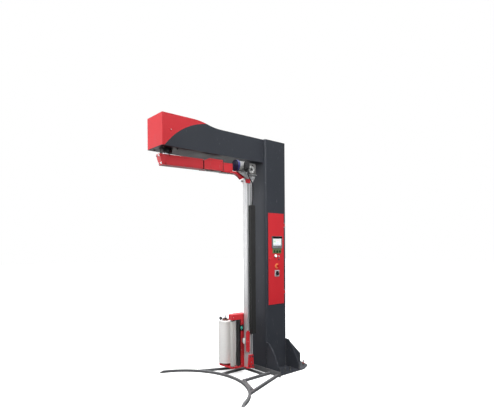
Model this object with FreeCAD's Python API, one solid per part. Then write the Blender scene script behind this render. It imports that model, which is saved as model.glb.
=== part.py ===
"""Rotary-arm pallet wrapper: a floor-standing column with a cantilever boom, and under the boom a rotating arm whose
mast carries a film carriage round the load. Millimetres, +Z up, the load under the boom towards -X.
The origin is on the floor, on the column's axis, at the centre of the four floor anchors."""
import FreeCAD, Part
import math
import os

from FreeCAD import Vector

X, Y, Z = Vector(1, 0, 0), Vector(0, 1, 0), Vector(0, 0, 1)

# ---- driving dimensions -------------------------------------------------------------------------------------------
COLUMN_HEIGHT = 2900
COLUMN_WIDTH = 368           # along X
COLUMN_DEPTH = 390           # along Y
COLUMN_CORNER = 22           # outer bend radius of the folded shell
SHEET = 4                    # wall of the column and the boom
BASE_THICKNESS = 15
BASE_FRONT = 415             # half the base plate's depth
BASE_RIGHT = 480
BASE_SHOULDER = (425, 345)   # outer corners of the base plate, where its right end starts to narrow
ANCHOR_X, ANCHOR_Y, ANCHOR_HOLE = 95, 370, 9

AXIS_X = -1491               # the arm turns about the vertical line x = AXIS_X, y = 0
ARM_YAW = -6.5               # the arm's direction at rest, in degrees from +X

BOOM_WIDTH = 310
BOOM_BOTTOM = 2611
BOOM_TOP_END = 2950          # top of the tall outer end
BOOM_END = -1626
STEP_START, STEP_STOP = -1240, -850   # the top steps down from BOOM_TOP_END to COLUMN_HEIGHT between these

GUARD_CENTRE = (-1441, -105)
GUARD_RADIUS = 771
GUARD_FROM, GUARD_TO = -68, 74
GUARD_BEVEL = 55             # length over which the bow's ends slope down to the floor
TUBE, TUBE_WALL = 28, 2.5    # square tube of the bow and its struts

MAST_IN, MAST_OUT, MAST_HALF = 1040, 1114, 40     # mast section, radially and across
MAST_WALL = 4
MAST_FOOT, MAST_TOP = 103, 2428
BEAM_TOP = 2540              # top of the arm's narrow beam, past the middle cover
BELT_AXIS, PULLEY_RADIUS, BELT_THICKNESS = 1080, 24, 3
DRIVE_Z, RETURN_Z = 2487, 165
BELT_FRONT, BELT_BACK = 6, 30
WORM_T, WORM_Z = -37, 2525   # line of the lift motor

DOOR_LEFT, DOOR_RIGHT, DOOR_BOTTOM, DOOR_TOP = -142, 141, 834, 1986
DOOR_FACE = -COLUMN_DEPTH / 2 - 4
HINGE_X, HINGE_Y = 148, -201
HMI_X, HMI_Z = 10, 1618.5
BUTTON_XS, BUTTON_Z = (-34, 15, 64), 1502
WHITE_X, WHITE_Z = -16, 1444
ESTOP_X, ESTOP_Z = 8, 1318
SWITCH_X, SWITCH_Z = 8.5, 1226
LOCK_X, LOCK_Z = -118, 1410

FILM = (923, 274)            # positions across the carriage are (radial, across) from the arm's axis
FILM_RADIUS = 90
IDLER_A, IDLER_A_RADIUS = (905, 95), 25
IDLER_B, IDLER_B_RADIUS = (948, 112), 18
STRETCH_RADIUS = 25
STRETCH_1 = (990, 95)
STRETCH_2 = (1028.89, 133.89)
CARRIAGE_BOTTOM, CARRIAGE_TOP = 86, 741
TOP_BOX_BOTTOM = 676
SPINE_FRONT, SPINE_BACK = 57, 100
SHAFT_RADIUS, RUNNING = 8, 0.05

SLEW_TEETH, PINION_TEETH, SLEW_MODULE = 60, 18, 4
FAST_TEETH, SLOW_TEETH, STRETCH_MODULE = 22, 33, 2

os.makedirs("parts", exist_ok=True)


# ---- shape helpers ------------------------------------------------------------------------------------------------
def box(x0, x1, y0, y1, z0, z1):
    return Part.makeBox(x1 - x0, y1 - y0, z1 - z0, Vector(x0, y0, z0))


def rod(radius, base, length, axis=Z):
    return Part.makeCylinder(radius, length, Vector(*base), axis)


def tube(outer, inner, base, length, axis=Z):
    return rod(outer, base, length, axis).cut(rod(inner, base, length, axis))


def prism(plane, steps, start, stop):
    """Extrudes an outline drawn in the xy, xz or yz plane between two offsets. A step is a corner (u, v), or a pair
    of points: an arc through the first to the second."""
    place = {"xy": lambda u, v: Vector(u, v, start), "xz": lambda u, v: Vector(u, start, v),
             "yz": lambda u, v: Vector(start, u, v)}[plane]
    along = {"xy": Z, "xz": Y, "yz": X}[plane]
    here = place(*steps[0])
    first = here
    edges = []
    for step in steps[1:]:
        if isinstance(step[0], tuple):
            there = place(*step[1])
            edges.append(Part.Arc(here, place(*step[0]), there).toShape())
        else:
            there = place(*step)
            edges.append(Part.LineSegment(here, there).toShape())
        here = there
    edges.append(Part.LineSegment(here, first).toShape())
    return Part.Face(Part.Wire(edges)).extrude(along * (stop - start))


def round_uprights(shape, radius):
    """Rounds every vertical edge of a box."""
    uprights = [e for e in shape.Edges if abs(e.tangentAt(e.FirstParameter).z) > 0.99]
    return shape.makeFillet(radius, uprights)


def round_across(shape, radius):
    """Rounds the four edges of a box that run along Y."""
    edges = [e for e in shape.Edges if abs(e.tangentAt(e.FirstParameter).y) > 0.99]
    return shape.makeFillet(radius, edges)


def fuse(*shapes):
    return shapes[0].multiFuse(list(shapes[1:])).removeSplitter()


def cut(shape, *tools):
    for tool in tools:
        shape = shape.cut(tool)
    return shape


def gear(teeth, module, bore, base, width, phase=0.0):
    """A spur gear with straight-flanked teeth, thinned for backlash. phase turns it, in teeth."""
    tip = module * (teeth / 2 + 0.9)
    root = module * (teeth / 2 - 1.15)
    pitch = 2 * math.pi / teeth
    points = []
    for k in range(teeth):
        for share, radius in ((-0.29, root), (-0.12, tip), (0.12, tip), (0.29, root)):
            angle = (k + phase + share) * pitch
            points.append(Vector(base[0] + radius * math.cos(angle), base[1] + radius * math.sin(angle), base[2]))
    blank = Part.Face(Part.makePolygon(points + points[:1])).extrude(Z * width)
    return blank.cut(rod(bore, base, width))


def on_arm(shape):
    """Carries a shape from the arm's own frame (radial, across, up) to its place at rest."""
    moved = shape.copy()
    moved.rotate(Vector(0, 0, 0), Z, ARM_YAW)
    moved.translate(Vector(AXIS_X, 0, 0))
    return moved


def export(name, *shapes):
    solids = [s for shape in shapes for s in shape.Solids]
    shape = solids[0] if len(solids) == 1 else Part.makeCompound(solids)
    if not shape.isValid():
        raise ValueError(name + " is not a valid shape")
    shape.exportStep("parts/" + name + ".step")


# ---- column and base ----------------------------------------------------------------------------------------------
def column_parts():
    left, front = -COLUMN_WIDTH / 2, -COLUMN_DEPTH / 2
    chamfer_x, end_y = 275, 215
    out_x, out_y = BASE_SHOULDER
    plate = prism("xy", [(left - 20, -BASE_FRONT), (chamfer_x, -BASE_FRONT), (out_x, -out_y), (BASE_RIGHT, -end_y),
                         (BASE_RIGHT, end_y), (out_x, out_y), (chamfer_x, BASE_FRONT), (left - 20, BASE_FRONT)],
                  0, BASE_THICKNESS)
    anchor_holes = [rod(ANCHOR_HOLE, (sx * ANCHOR_X, sy * ANCHOR_Y, 0), BASE_THICKNESS)
                    for sx in (-1, 1) for sy in (-1, 1)]
    screw_places = [(x, side * y) for x, y in ((-140, 378), (-45, 378), (45, 378), (215, 378), (395, 300))
                    for side in (-1, 1)]
    screw_radius = 8
    screw_holes = [rod(screw_radius, (x, y, 0), BASE_THICKNESS) for x, y in screw_places]
    export("base_plate", cut(plate, *anchor_holes, *screw_holes))

    screws = [fuse(rod(screw_radius, (x, y, 0), 70), tube(13.5, screw_radius, (x, y, BASE_THICKNESS), 13))
              for x, y in screw_places]
    export("levelling_screws", *screws)

    gusset = 12
    toe, heel, apex = 205, 45, 372
    deep = [(0, BASE_THICKNESS), (0, apex), (heel, apex - 6), ((140, 232), (toe, 92)), (toe, BASE_THICKNESS)]
    wide_toe = BASE_RIGHT - 12
    wide = [(184, BASE_THICKNESS), (184, 368), (229, 350), (wide_toe, 127), (wide_toe, BASE_THICKNESS)]

    def deep_gusset(x0, side):
        def flip(p):
            return (side * (COLUMN_DEPTH / 2 + p[0]), p[1])
        steps = [tuple(flip(q) for q in p) if isinstance(p[0], tuple) else flip(p) for p in deep]
        return prism("yz", steps, x0, x0 + gusset)

    gussets = [deep_gusset(x0, side) for x0 in (left, -left - gusset) for side in (-1, 1)]
    gussets += [prism("xz", wide, y0, y0 + gusset) for y0 in (front + 6, -front - 6 - gusset)]
    export("base_gussets", *gussets)

    shell = round_uprights(box(left, -left, front, -front, BASE_THICKNESS, COLUMN_HEIGHT), COLUMN_CORNER)
    hollow = round_uprights(box(left + SHEET, -left - SHEET, front + SHEET, -front - SHEET, 0, COLUMN_HEIGHT - SHEET),
                            COLUMN_CORNER - SHEET)
    border = 8
    doorway = box(DOOR_LEFT + border, DOOR_RIGHT - border, front - 1, front + SHEET + 1,
                  DOOR_BOTTOM + border, DOOR_TOP - border)
    gland_hole = rod(16, (90, -front - SHEET - 1, 130), SHEET + 2, Y)
    export("column_shell", cut(shell, hollow, doorway, gland_hole))

    back = -front
    gland = fuse(tube(16, 7, (90, back - 22, 130), 26, Y), tube(22, 7, (90, back, 130), 10, Y),
                 tube(18, 7, (90, back + 10, 130), 22, Y), tube(22, 7, (90, back - 14, 130), 8, Y))
    export("mains_gland", gland)

    inner = COLUMN_WIDTH / 2 - SHEET
    plate_y = 60
    board = box(-inner, inner, plate_y, plate_y + 3, 870, 1950)
    rails = [box(-140, 140, plate_y - 10, plate_y, z, z + 35) for z in (1330, 1620)]
    inverter = box(-120, 20, plate_y - 130, plate_y, 1000, 1240)
    supply = box(45, 125, plate_y - 105, plate_y, 1010, 1160)
    controller = box(-125, 15, plate_y - 85, plate_y - 10, 1592, 1690)
    modules = [box(22 + 28 * k, 48 + 28 * k, plate_y - 85, plate_y - 10, 1592, 1690) for k in range(3)]
    breakers = [box(-120 + 24 * k, -98 + 24 * k, plate_y - 75, plate_y - 10, 1305, 1390) for k in range(9)]
    export("electrical_panel", board, *rails, inverter, supply, controller, *modules, *breakers)


# ---- boom ---------------------------------------------------------------------------------------------------------
def boom_side(inset):
    """Side outline of the boom, moved inwards by inset. The end at the column stays where it is."""
    end, bottom = BOOM_END + inset, BOOM_BOTTOM + inset
    high, low = BOOM_TOP_END - inset, COLUMN_HEIGHT - inset
    middle = (STEP_START + STEP_STOP) / 2
    run, drop = middle - STEP_START, (high - low) / 2
    radius = (run ** 2 + drop ** 2) / (2 * drop)
    sag = radius - math.sqrt(radius ** 2 - (run / 2) ** 2)
    return [(end, bottom), (end, high), (STEP_START, high),
            ((STEP_START + run / 2, high - sag), (middle, high - drop)),
            ((middle + run / 2, low + sag), (STEP_STOP, low)),
            (-COLUMN_WIDTH / 2, low), (-COLUMN_WIDTH / 2, bottom)]


def boom_parts():
    half = BOOM_WIDTH / 2
    shell = prism("xz", boom_side(0), -half, half).cut(prism("xz", boom_side(SHEET), SHEET - half, half - SHEET))
    arc_end = -1034
    beyond = 3000
    grey = prism("xz", [(-1600, BOOM_BOTTOM - 1), (-1600, BOOM_BOTTOM), ((-1373, 2815), (arc_end, 2930)),
                        (arc_end, beyond), (0, beyond), (0, BOOM_BOTTOM - 1)], -half - 1, half + 1)
    floor = box(BOOM_END, -1590, -half, half, BOOM_BOTTOM, BOOM_BOTTOM + SHEET)
    shaft_hole = rod(38, (AXIS_X, 0, BOOM_BOTTOM - 1), SHEET + 2)
    export("boom_beam", fuse(shell.common(grey), floor).cut(shaft_hole))
    export("boom_end_cover", cut(shell, grey, floor))

    export("slewing_bearing_outer", tube(66, 48, (AXIS_X, 0, 2571), BOOM_BOTTOM - 2571))

    distance = SLEW_MODULE * (SLEW_TEETH + PINION_TEETH) / 2
    pinion_x = AXIS_X + distance
    gearbox = box(pinion_x - 60, pinion_x + 60, -55, 55, 2685, 2800)
    output_hole = rod(12 + RUNNING, (pinion_x, 0, 2685), 40)
    legs = [box(pinion_x - 5, pinion_x + 60, side * 62.5 - 7.5, side * 62.5 + 7.5, BOOM_BOTTOM + SHEET, 2760)
            for side in (-1, 1)]
    motor = fuse(rod(60, (pinion_x + 60, 0, 2745), 150, X), rod(66, (pinion_x + 210, 0, 2745), 60, X))
    export("rotation_gearmotor", fuse(gearbox.cut(output_hole), *legs, motor))
    pinion_shaft = rod(12, (pinion_x, 0, 2630), 90)
    pinion = gear(PINION_TEETH, SLEW_MODULE, 12, (pinion_x, 0, 2640), 22, 0.5)
    export("drive_pinion", fuse(pinion, pinion_shaft))

    ring = tube(45, 33, (AXIS_X, 0, 2690), 70)
    stay = box(AXIS_X + 40, pinion_x - 60, -12, 12, 2735, 2745)
    export("slip_ring_body", fuse(ring, stay.cut(rod(40, (AXIS_X, 0, 2735), 10))))


# ---- floor guard --------------------------------------------------------------------------------------------------
def square_tube(start, end, hollow=True):
    """A square tube standing on the floor along the line from start to end."""
    run_x, run_y = end[0] - start[0], end[1] - start[1]
    length, half = math.hypot(run_x, run_y), TUBE / 2
    bar = box(0, length, -half, half, 0, TUBE)
    if hollow:
        bar = bar.cut(box(-1, length + 1, TUBE_WALL - half, half - TUBE_WALL, TUBE_WALL, TUBE - TUBE_WALL))
    bar.rotate(Vector(0, 0, 0), Z, math.degrees(math.atan2(run_y, run_x)))
    bar.translate(Vector(start[0], start[1], 0))
    return bar


def guard_parts():
    half, wall = TUBE / 2, TUBE_WALL
    centre_x, centre_y = GUARD_CENTRE
    outline = Part.makePolygon([Vector(GUARD_RADIUS + u * half, 0, v) for u, v in
                                ((-1, 0), (1, 0), (1, TUBE), (-1, TUBE), (-1, 0))])
    inner = Part.makePolygon([Vector(GUARD_RADIUS + u * (half - wall), 0, v) for u, v in
                              ((-1, wall), (1, wall), (1, TUBE - wall), (-1, TUBE - wall), (-1, wall))])
    section = Part.Face(outline).cut(Part.Face(inner))
    bow = section.revolve(Vector(0, 0, 0), Z, GUARD_TO - GUARD_FROM)
    bow.rotate(Vector(0, 0, 0), Z, GUARD_FROM)
    for end, side in ((GUARD_FROM, -1), (GUARD_TO, 1)):
        slope = [(side, 2), (side, TUBE + 2), (-side * GUARD_BEVEL, TUBE + 2)]
        bevel = prism("yz", slope, GUARD_RADIUS - TUBE, GUARD_RADIUS + TUBE)
        bevel.rotate(Vector(0, 0, 0), Z, end)
        bow = bow.cut(bevel)
    bow.translate(Vector(centre_x, centre_y, 0))
    export("guard_bow", bow)

    plate_x = -COLUMN_WIDTH / 2 - 20
    rail_x = plate_x - 8
    keep_off = rod(GUARD_RADIUS + half, (centre_x, centre_y, -1), TUBE + 2)
    behind_rail = box(rail_x, 0, -600, 300, -1, TUBE + 1)
    brace_line = ((-632, -262), (-783, -575))
    back, front = ((rail_x, 72), (-700, 72)), ((rail_x, -277), (-632, -277))
    lines = (((-150, 65), (-850, 373)), back, front, ((-150, -382), (-900, -634)))
    solid_brace = square_tube(*brace_line, hollow=False)
    struts = [cut(square_tube(*line), keep_off, behind_rail, solid_brace) for line in lines]
    brace = square_tube(*brace_line).cut(keep_off)
    cross = cut(square_tube((-300, 58), (-300, -263)), square_tube(*back, hollow=False),
                square_tube(*front, hollow=False))
    rail = box(rail_x, plate_x, -452, 108, 0, 62)
    pieces = [solid for shape in (*struts, brace, cross) for solid in shape.Solids if solid.Volume > 5000]
    export("guard_frame", *pieces, rail)


# ---- control door -------------------------------------------------------------------------------------------------
def door_parts():
    face, back = DOOR_FACE, DOOR_FACE + 3
    border, depth, wall = 12, 18, 2
    sheet = box(DOOR_LEFT, DOOR_RIGHT, face, back, DOOR_BOTTOM, DOOR_TOP)
    rim = box(DOOR_LEFT + border, DOOR_RIGHT - border, back, back + depth, DOOR_BOTTOM + border, DOOR_TOP - border)
    rim_hollow = box(DOOR_LEFT + border + wall, DOOR_RIGHT - border - wall, back, back + depth,
                     DOOR_BOTTOM + border + wall, DOOR_TOP - border - wall)
    openings = [box(HMI_X - 84, HMI_X + 84, face - 1, back + 1, HMI_Z - 66, HMI_Z + 66)]
    openings += [rod(8.3, (x, face - 1, BUTTON_Z), 6, Y) for x in BUTTON_XS]
    openings += [rod(11.3, (WHITE_X, face - 1, WHITE_Z), 6, Y), rod(11.3, (ESTOP_X, face - 1, ESTOP_Z), 6, Y),
                 rod(6.3, (SWITCH_X, face - 1, SWITCH_Z), 6, Y), rod(9 + RUNNING, (LOCK_X, face - 1, LOCK_Z), 6, Y)]
    knuckles = [fuse(tube(6, 3 + RUNNING, (HINGE_X, HINGE_Y, z), 40), box(DOOR_RIGHT - 4, HINGE_X - 4.5, face, back,
                                                                       z, z + 40)) for z in (960, 1820)]
    export("control_door", fuse(sheet, rim.cut(rim_hollow), *knuckles).cut(openings[0]).cut(
        Part.makeCompound(openings[1:])))

    brackets = []
    for z in (960, 1820):
        pin = rod(3, (HINGE_X, HINGE_Y, z - 12), 64)
        ears = [fuse(rod(6, (HINGE_X, HINGE_Y, z + dz), 11), box(HINGE_X, HINGE_X + 16, -203, -195, z + dz, z + dz + 11))
                for dz in (-12, 41)]
        brackets.append(fuse(pin, *ears))
    export("hinge_brackets", *brackets)

    bezel = box(HMI_X - 93, HMI_X + 93, face - 8, face, HMI_Z - 77.5, HMI_Z + 77.5)
    body = box(HMI_X - 83, HMI_X + 83, face, face + 45, HMI_Z - 65, HMI_Z + 65)
    window = box(HMI_X - 79, HMI_X + 79, face - 9, face - 6, HMI_Z - 44, HMI_Z + 50)
    export("touch_screen_housing", fuse(round_across(bezel, 5), body).cut(window))
    export("touch_screen_glass", box(HMI_X - 79, HMI_X + 79, face - 7.5, face - 6, HMI_Z - 44, HMI_Z + 50))

    plate = box(-68, 90, face - 1.5, face, 1478, 1540.5)
    holes = [rod(8.3, (x, face - 3, BUTTON_Z), 4, Y) for x in BUTTON_XS]
    collar = tube(20, 11.3, (WHITE_X, face - 3, WHITE_Z), 3, Y)
    export("button_plate", cut(plate, *holes), collar)
    for k, x in enumerate(BUTTON_XS, 1):
        export("green_button_%d" % k, fuse(rod(11, (x, face - 13, BUTTON_Z), 7, Y),
                                           rod(8, (x, face - 6, BUTTON_Z), 36, Y)))
    export("white_button", fuse(rod(17, (WHITE_X, face - 15, WHITE_Z), 7, Y), rod(11, (WHITE_X, face - 8, WHITE_Z), 38, Y)))
    export("estop_collar", tube(32, 11.3, (ESTOP_X, face - 4, ESTOP_Z), 4, Y))
    head = fuse(rod(20, (ESTOP_X, face - 30, ESTOP_Z), 16, Y), rod(11, (ESTOP_X, face - 14, ESTOP_Z), 46, Y))
    export("estop_button", head)
    export("main_switch_plate", cut(box(SWITCH_X - 39.5, SWITCH_X + 39.5, face - 6, face, SWITCH_Z - 40, SWITCH_Z + 40),
                                    rod(6.3, (SWITCH_X, face - 7, SWITCH_Z), 8, Y)))
    grip = box(SWITCH_X - 7, SWITCH_X + 7, face - 30, face - 14, SWITCH_Z - 25, SWITCH_Z + 25)
    export("main_switch_knob", fuse(rod(27, (SWITCH_X, face - 16, SWITCH_Z), 9, Y), grip,
                                    rod(6, (SWITCH_X, face - 8, SWITCH_Z), 40, Y)))
    export("door_lock", fuse(rod(12, (LOCK_X, face - 4, LOCK_Z), 3.8, Y), rod(9, (LOCK_X, face - 1, LOCK_Z), 24, Y),
                             box(LOCK_X - 7, LOCK_X + 7, face + 22, face + 26, LOCK_Z - 32, LOCK_Z + 10)))


# ---- rotating arm -------------------------------------------------------------------------------------------------
def arm_parts():
    shaft = tube(30, 12, (0, 0, 2566), 2772 - 2566)
    hub = tube(44, 12, (0, 0, 2550), 16)
    export("main_shaft", on_arm(fuse(shaft, hub)))
    export("slewing_bearing_inner", on_arm(tube(46, 31, (0, 0, 2566), 40)))
    wheel = gear(SLEW_TEETH, SLEW_MODULE, 30, (AXIS_X, 0, 2640), 22)
    export("slew_gear", wheel)

    wall, half = 4, 45
    left_top, left_bottom, right = -98, -62, 438
    outer = prism("xz", [(left_bottom, 2438), (left_top, 2550), (right, 2550), (right, 2438)], -half, half)
    inner = prism("xz", [(left_bottom + 5, 2438 + wall), (left_top + 5, 2550 - wall), (right + 1, 2550 - wall),
                         (right + 1, 2438 + wall)], wall - half, half - wall)
    export("arm_box", on_arm(cut(outer, inner, rod(12, (0, 0, 2540), 12))))

    start, stop, wide = right, 692, 57
    outer = prism("xz", [(start, 2438), (start, 2536), (512, 2565), (stop, 2565), (stop, 2438)], -wide, wide)
    inner = box(start - 1, stop - wall, wall - wide, wide - wall, 2438 + wall, 2532)
    export("arm_middle_cover", on_arm(outer.cut(inner)))

    bend = 832
    beam = box(stop, bend, -half, half, 2432, BEAM_TOP).cut(
        box(stop - 1, bend - wall, wall - half, half - wall, 2432 + wall, BEAM_TOP - wall))
    knee_end = 997
    web_far = -5
    shelf = box(bend, knee_end, -half, half, 2432, 2452).cut(
        box(bend + 5, knee_end + 1, wall - half, half - wall, 2436, 2448))
    web = prism("xz", [(bend, 2448), (knee_end, 2448), (knee_end, 2390), (953, 2369), ((905, 2408), (bend, 2432))],
                -half, web_far)
    web_hollow = prism("xz", [(bend + 5, 2449), (knee_end + 1, 2449), (knee_end + 1, 2398), (957, 2378),
                              ((909, 2414), (bend + 5, 2437))], wall - half, web_far - wall)
    export("arm_knee", on_arm(fuse(beam, shelf, web).cut(web_hollow)))

    near_side = [(knee_end, 2428), (1166, 2428), (1150, 2386), (1120, 2336), (1030, 2326), (knee_end, 2390)]
    far_side = [(1046, 2428), (1166, 2428), (1150, 2386), (1120, 2336), (1046, 2328)]
    cheeks = [prism("xz", far_side, 40, 48), prism("xz", near_side, -48, -40)]
    belt_gap = box(1050, 1110, 2, 35, MAST_TOP - 1, MAST_TOP + 9)
    top = box(knee_end, 1166, -75, 52, MAST_TOP, MAST_TOP + 8).cut(belt_gap)
    upright = prism("xz", [(1050, 2430), (1110, 2430), (1098, 2515), (1062, 2515)], 40, 48)
    bearing_hole = rod(12 + RUNNING, (BELT_AXIS, 39, DRIVE_Z), 10, Y)
    cradle = box(893, 1026, -76, 30, 2452, 2456)
    lip = prism("xz", [(893, 2456), (1026, 2456), (1031, 2436), (1048, 2428), (1048, 2376), (1020, 2376),
                       (905, 2434)], -76, -70)
    holes = [rod(5, (s, -80, z), 20, Y) for s, z in ((930, 2442), (985, 2430), (1034, 2400))]
    export("mast_head_bracket", on_arm(cut(fuse(*cheeks, top, upright, cradle, lip), bearing_hole, *holes)))
    clamps = [box(1016, 1082, -54, -48, 2331, 2394), box(1046, 1108, 48, 54, 2331, 2394)]
    export("mast_clamp_plates", *[on_arm(c) for c in clamps])


def mast_parts():
    z0, z1 = MAST_FOOT, MAST_TOP
    profile = box(MAST_IN, MAST_OUT, -MAST_HALF, MAST_HALF, z0, z1)
    hollow = box(MAST_IN + MAST_WALL, MAST_OUT - MAST_WALL, MAST_WALL - MAST_HALF, MAST_HALF - MAST_WALL, z0 - 1, z1 + 1)
    clamp_slot = box(1044, 1069, MAST_HALF - MAST_WALL - 1, MAST_HALF + 1, z0 - 1, z1 - 90)
    grooves = [box(s - 4, s + 4, side * MAST_HALF - 2, side * MAST_HALF + 2, z0 - 1, z1 + 1)
               for s, side in ((1058, -1), (1096, -1), (1092, 1))]
    axle_hole = rod(9.5, (BELT_AXIS, -MAST_HALF - 1, RETURN_Z), 2 * MAST_HALF + 2, Y)
    export("mast_profile", on_arm(cut(profile, hollow, clamp_slot, *grooves, axle_hole)))

    foot = [(1030, 103), (1116, 103), (1110, 256), (1046, 256)]
    plates = [prism("xz", foot, -56, -MAST_HALF), prism("xz", foot, MAST_HALF, 50)]
    sole = box(1026, 1122, -56, 50, 95, 103)
    bearing_hole = rod(8 + RUNNING, (BELT_AXIS, -57, RETURN_Z), 110, Y)
    export("mast_foot", on_arm(fuse(*plates, sole).cut(bearing_hole)))

    duct = box(1066, 1128, -84, -MAST_HALF, 515, 2063).cut(box(1069, 1125, -81, -MAST_HALF - 3, 514, 2064))
    export("cable_duct", on_arm(duct))

    def loop(radius):
        round_ends = [rod(radius, (BELT_AXIS, BELT_FRONT, z), BELT_BACK - BELT_FRONT, Y) for z in (DRIVE_Z, RETURN_Z)]
        middle = box(BELT_AXIS - radius, BELT_AXIS + radius, BELT_FRONT, BELT_BACK, RETURN_Z, DRIVE_Z)
        return fuse(middle, *round_ends)
    export("lift_belt", on_arm(loop(PULLEY_RADIUS + BELT_THICKNESS).cut(loop(PULLEY_RADIUS))))

    def pulley(z, start, stop, axle):
        tread = rod(PULLEY_RADIUS - 0.4, (BELT_AXIS, 3, z), 30, Y)
        flanges = [rod(27.5, (BELT_AXIS, t, z), 2.5, Y) for t in (3, 30.5)]
        return on_arm(fuse(tread, *flanges, rod(axle, (BELT_AXIS, start, z), stop - start, Y)))
    export("drive_pulley", pulley(DRIVE_Z, -79, 47, 12))
    export("return_pulley", pulley(RETURN_Z, -54, 49, 8))


def lift_drive_parts():
    housing = round_across(box(1034, 1152, -72, -2, 2436, 2566), 8)
    boss = tube(42, 12 + RUNNING, (BELT_AXIS, -80, DRIVE_Z), 8, Y)
    output_hole = rod(12 + RUNNING, (BELT_AXIS, -73, DRIVE_Z), 72, Y)
    flange = rod(60, (1019, WORM_T, WORM_Z), 16, X)
    export("lift_gearbox", on_arm(fuse(housing.cut(output_hole), boss, flange)))

    core = rod(54, (901, WORM_T, WORM_Z), 118, X)
    fins = [Part.makeBox(112, 3, 118, Vector(905, WORM_T - 1.5, WORM_Z - 59)) for _ in range(12)]
    for k, fin in enumerate(fins):
        fin.rotate(Vector(905, WORM_T, WORM_Z), X, 15 * k)
    terminal = fuse(box(954, 1012, -132, -94, 2486, 2563), box(962, 1002, -94, -88, 2505, 2545),
                    rod(11, (1000, -113, 2470), 16))
    export("lift_motor", on_arm(fuse(core, *fins)), on_arm(terminal))

    cover = rod(66, (868, WORM_T, WORM_Z), 35, X).cut(rod(63, (872, WORM_T, WORM_Z), 29, X))
    vents = [box(867, 873, WORM_T - half, WORM_T + half, WORM_Z + z - 2, WORM_Z + z + 2)
             for z, half in ((-36, 40), (-24, 48), (-12, 53), (0, 55), (12, 53), (24, 48), (36, 40))]
    export("motor_fan_cover", on_arm(cut(cover, rod(55, (900, WORM_T, WORM_Z), 10, X), *vents)))


def smooth_path(points):
    """Straight runs joined by tangent arcs: each arc's radius is 0.45 of the shorter run over the half turn's tangent."""
    edges, here, radii = [], points[0], []
    for before, corner, after in zip(points, points[1:], points[2:]):
        back, ahead = before - corner, after - corner
        reach = 0.45 * min(back.Length, ahead.Length)
        turn = math.pi - back.getAngle(ahead)
        radii.append(reach / math.tan(turn / 2))
        back.normalize()
        ahead.normalize()
        enter, leave = corner + back * reach, corner + ahead * reach
        inwards = back + ahead
        inwards.normalize()
        centre_distance = radii[-1] / math.cos(turn / 2)
        middle = corner + inwards * (centre_distance - radii[-1])
        edges += [Part.LineSegment(here, enter).toShape(), Part.Arc(enter, middle, leave).toShape()]
        here = leave
    edges.append(Part.LineSegment(here, points[-1]).toShape())
    return Part.Wire(edges), radii


def lift_cable():
    """The lift motor's lead: out of the terminal box, down beside the mast and on inside the duct."""
    radius = 7
    route = [Vector(*p) for p in ((1000, -113, 2470), (1000, -113, 2428), (1026, -108, 2386), (1070, -92, 2352),
                                  (1106, -78, 2305), (1119, -70, 2245), (1114, -65, 2180), (1104, -62, 2118),
                                  (1099, -61, 2056), (1102, -60, 1990), (1103, -60, 1900))]
    path, radii = smooth_path(route)
    section = Part.Wire(Part.makeCircle(radius, route[0], route[1] - route[0]))
    cable = path.makePipeShell([section], True, False)
    print("lift_cable radii", [round(r) for r in radii], "volume ratio",
          round(cable.Volume / (math.pi * radius ** 2 * path.Length), 4))
    export("lift_cable", on_arm(cable))


# ---- film carriage ------------------------------------------------------------------------------------------------
def shaft_holes(z0, z1, radius, places):
    return [rod(radius, (s, t, z0), z1 - z0) for s, t in places]


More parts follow.
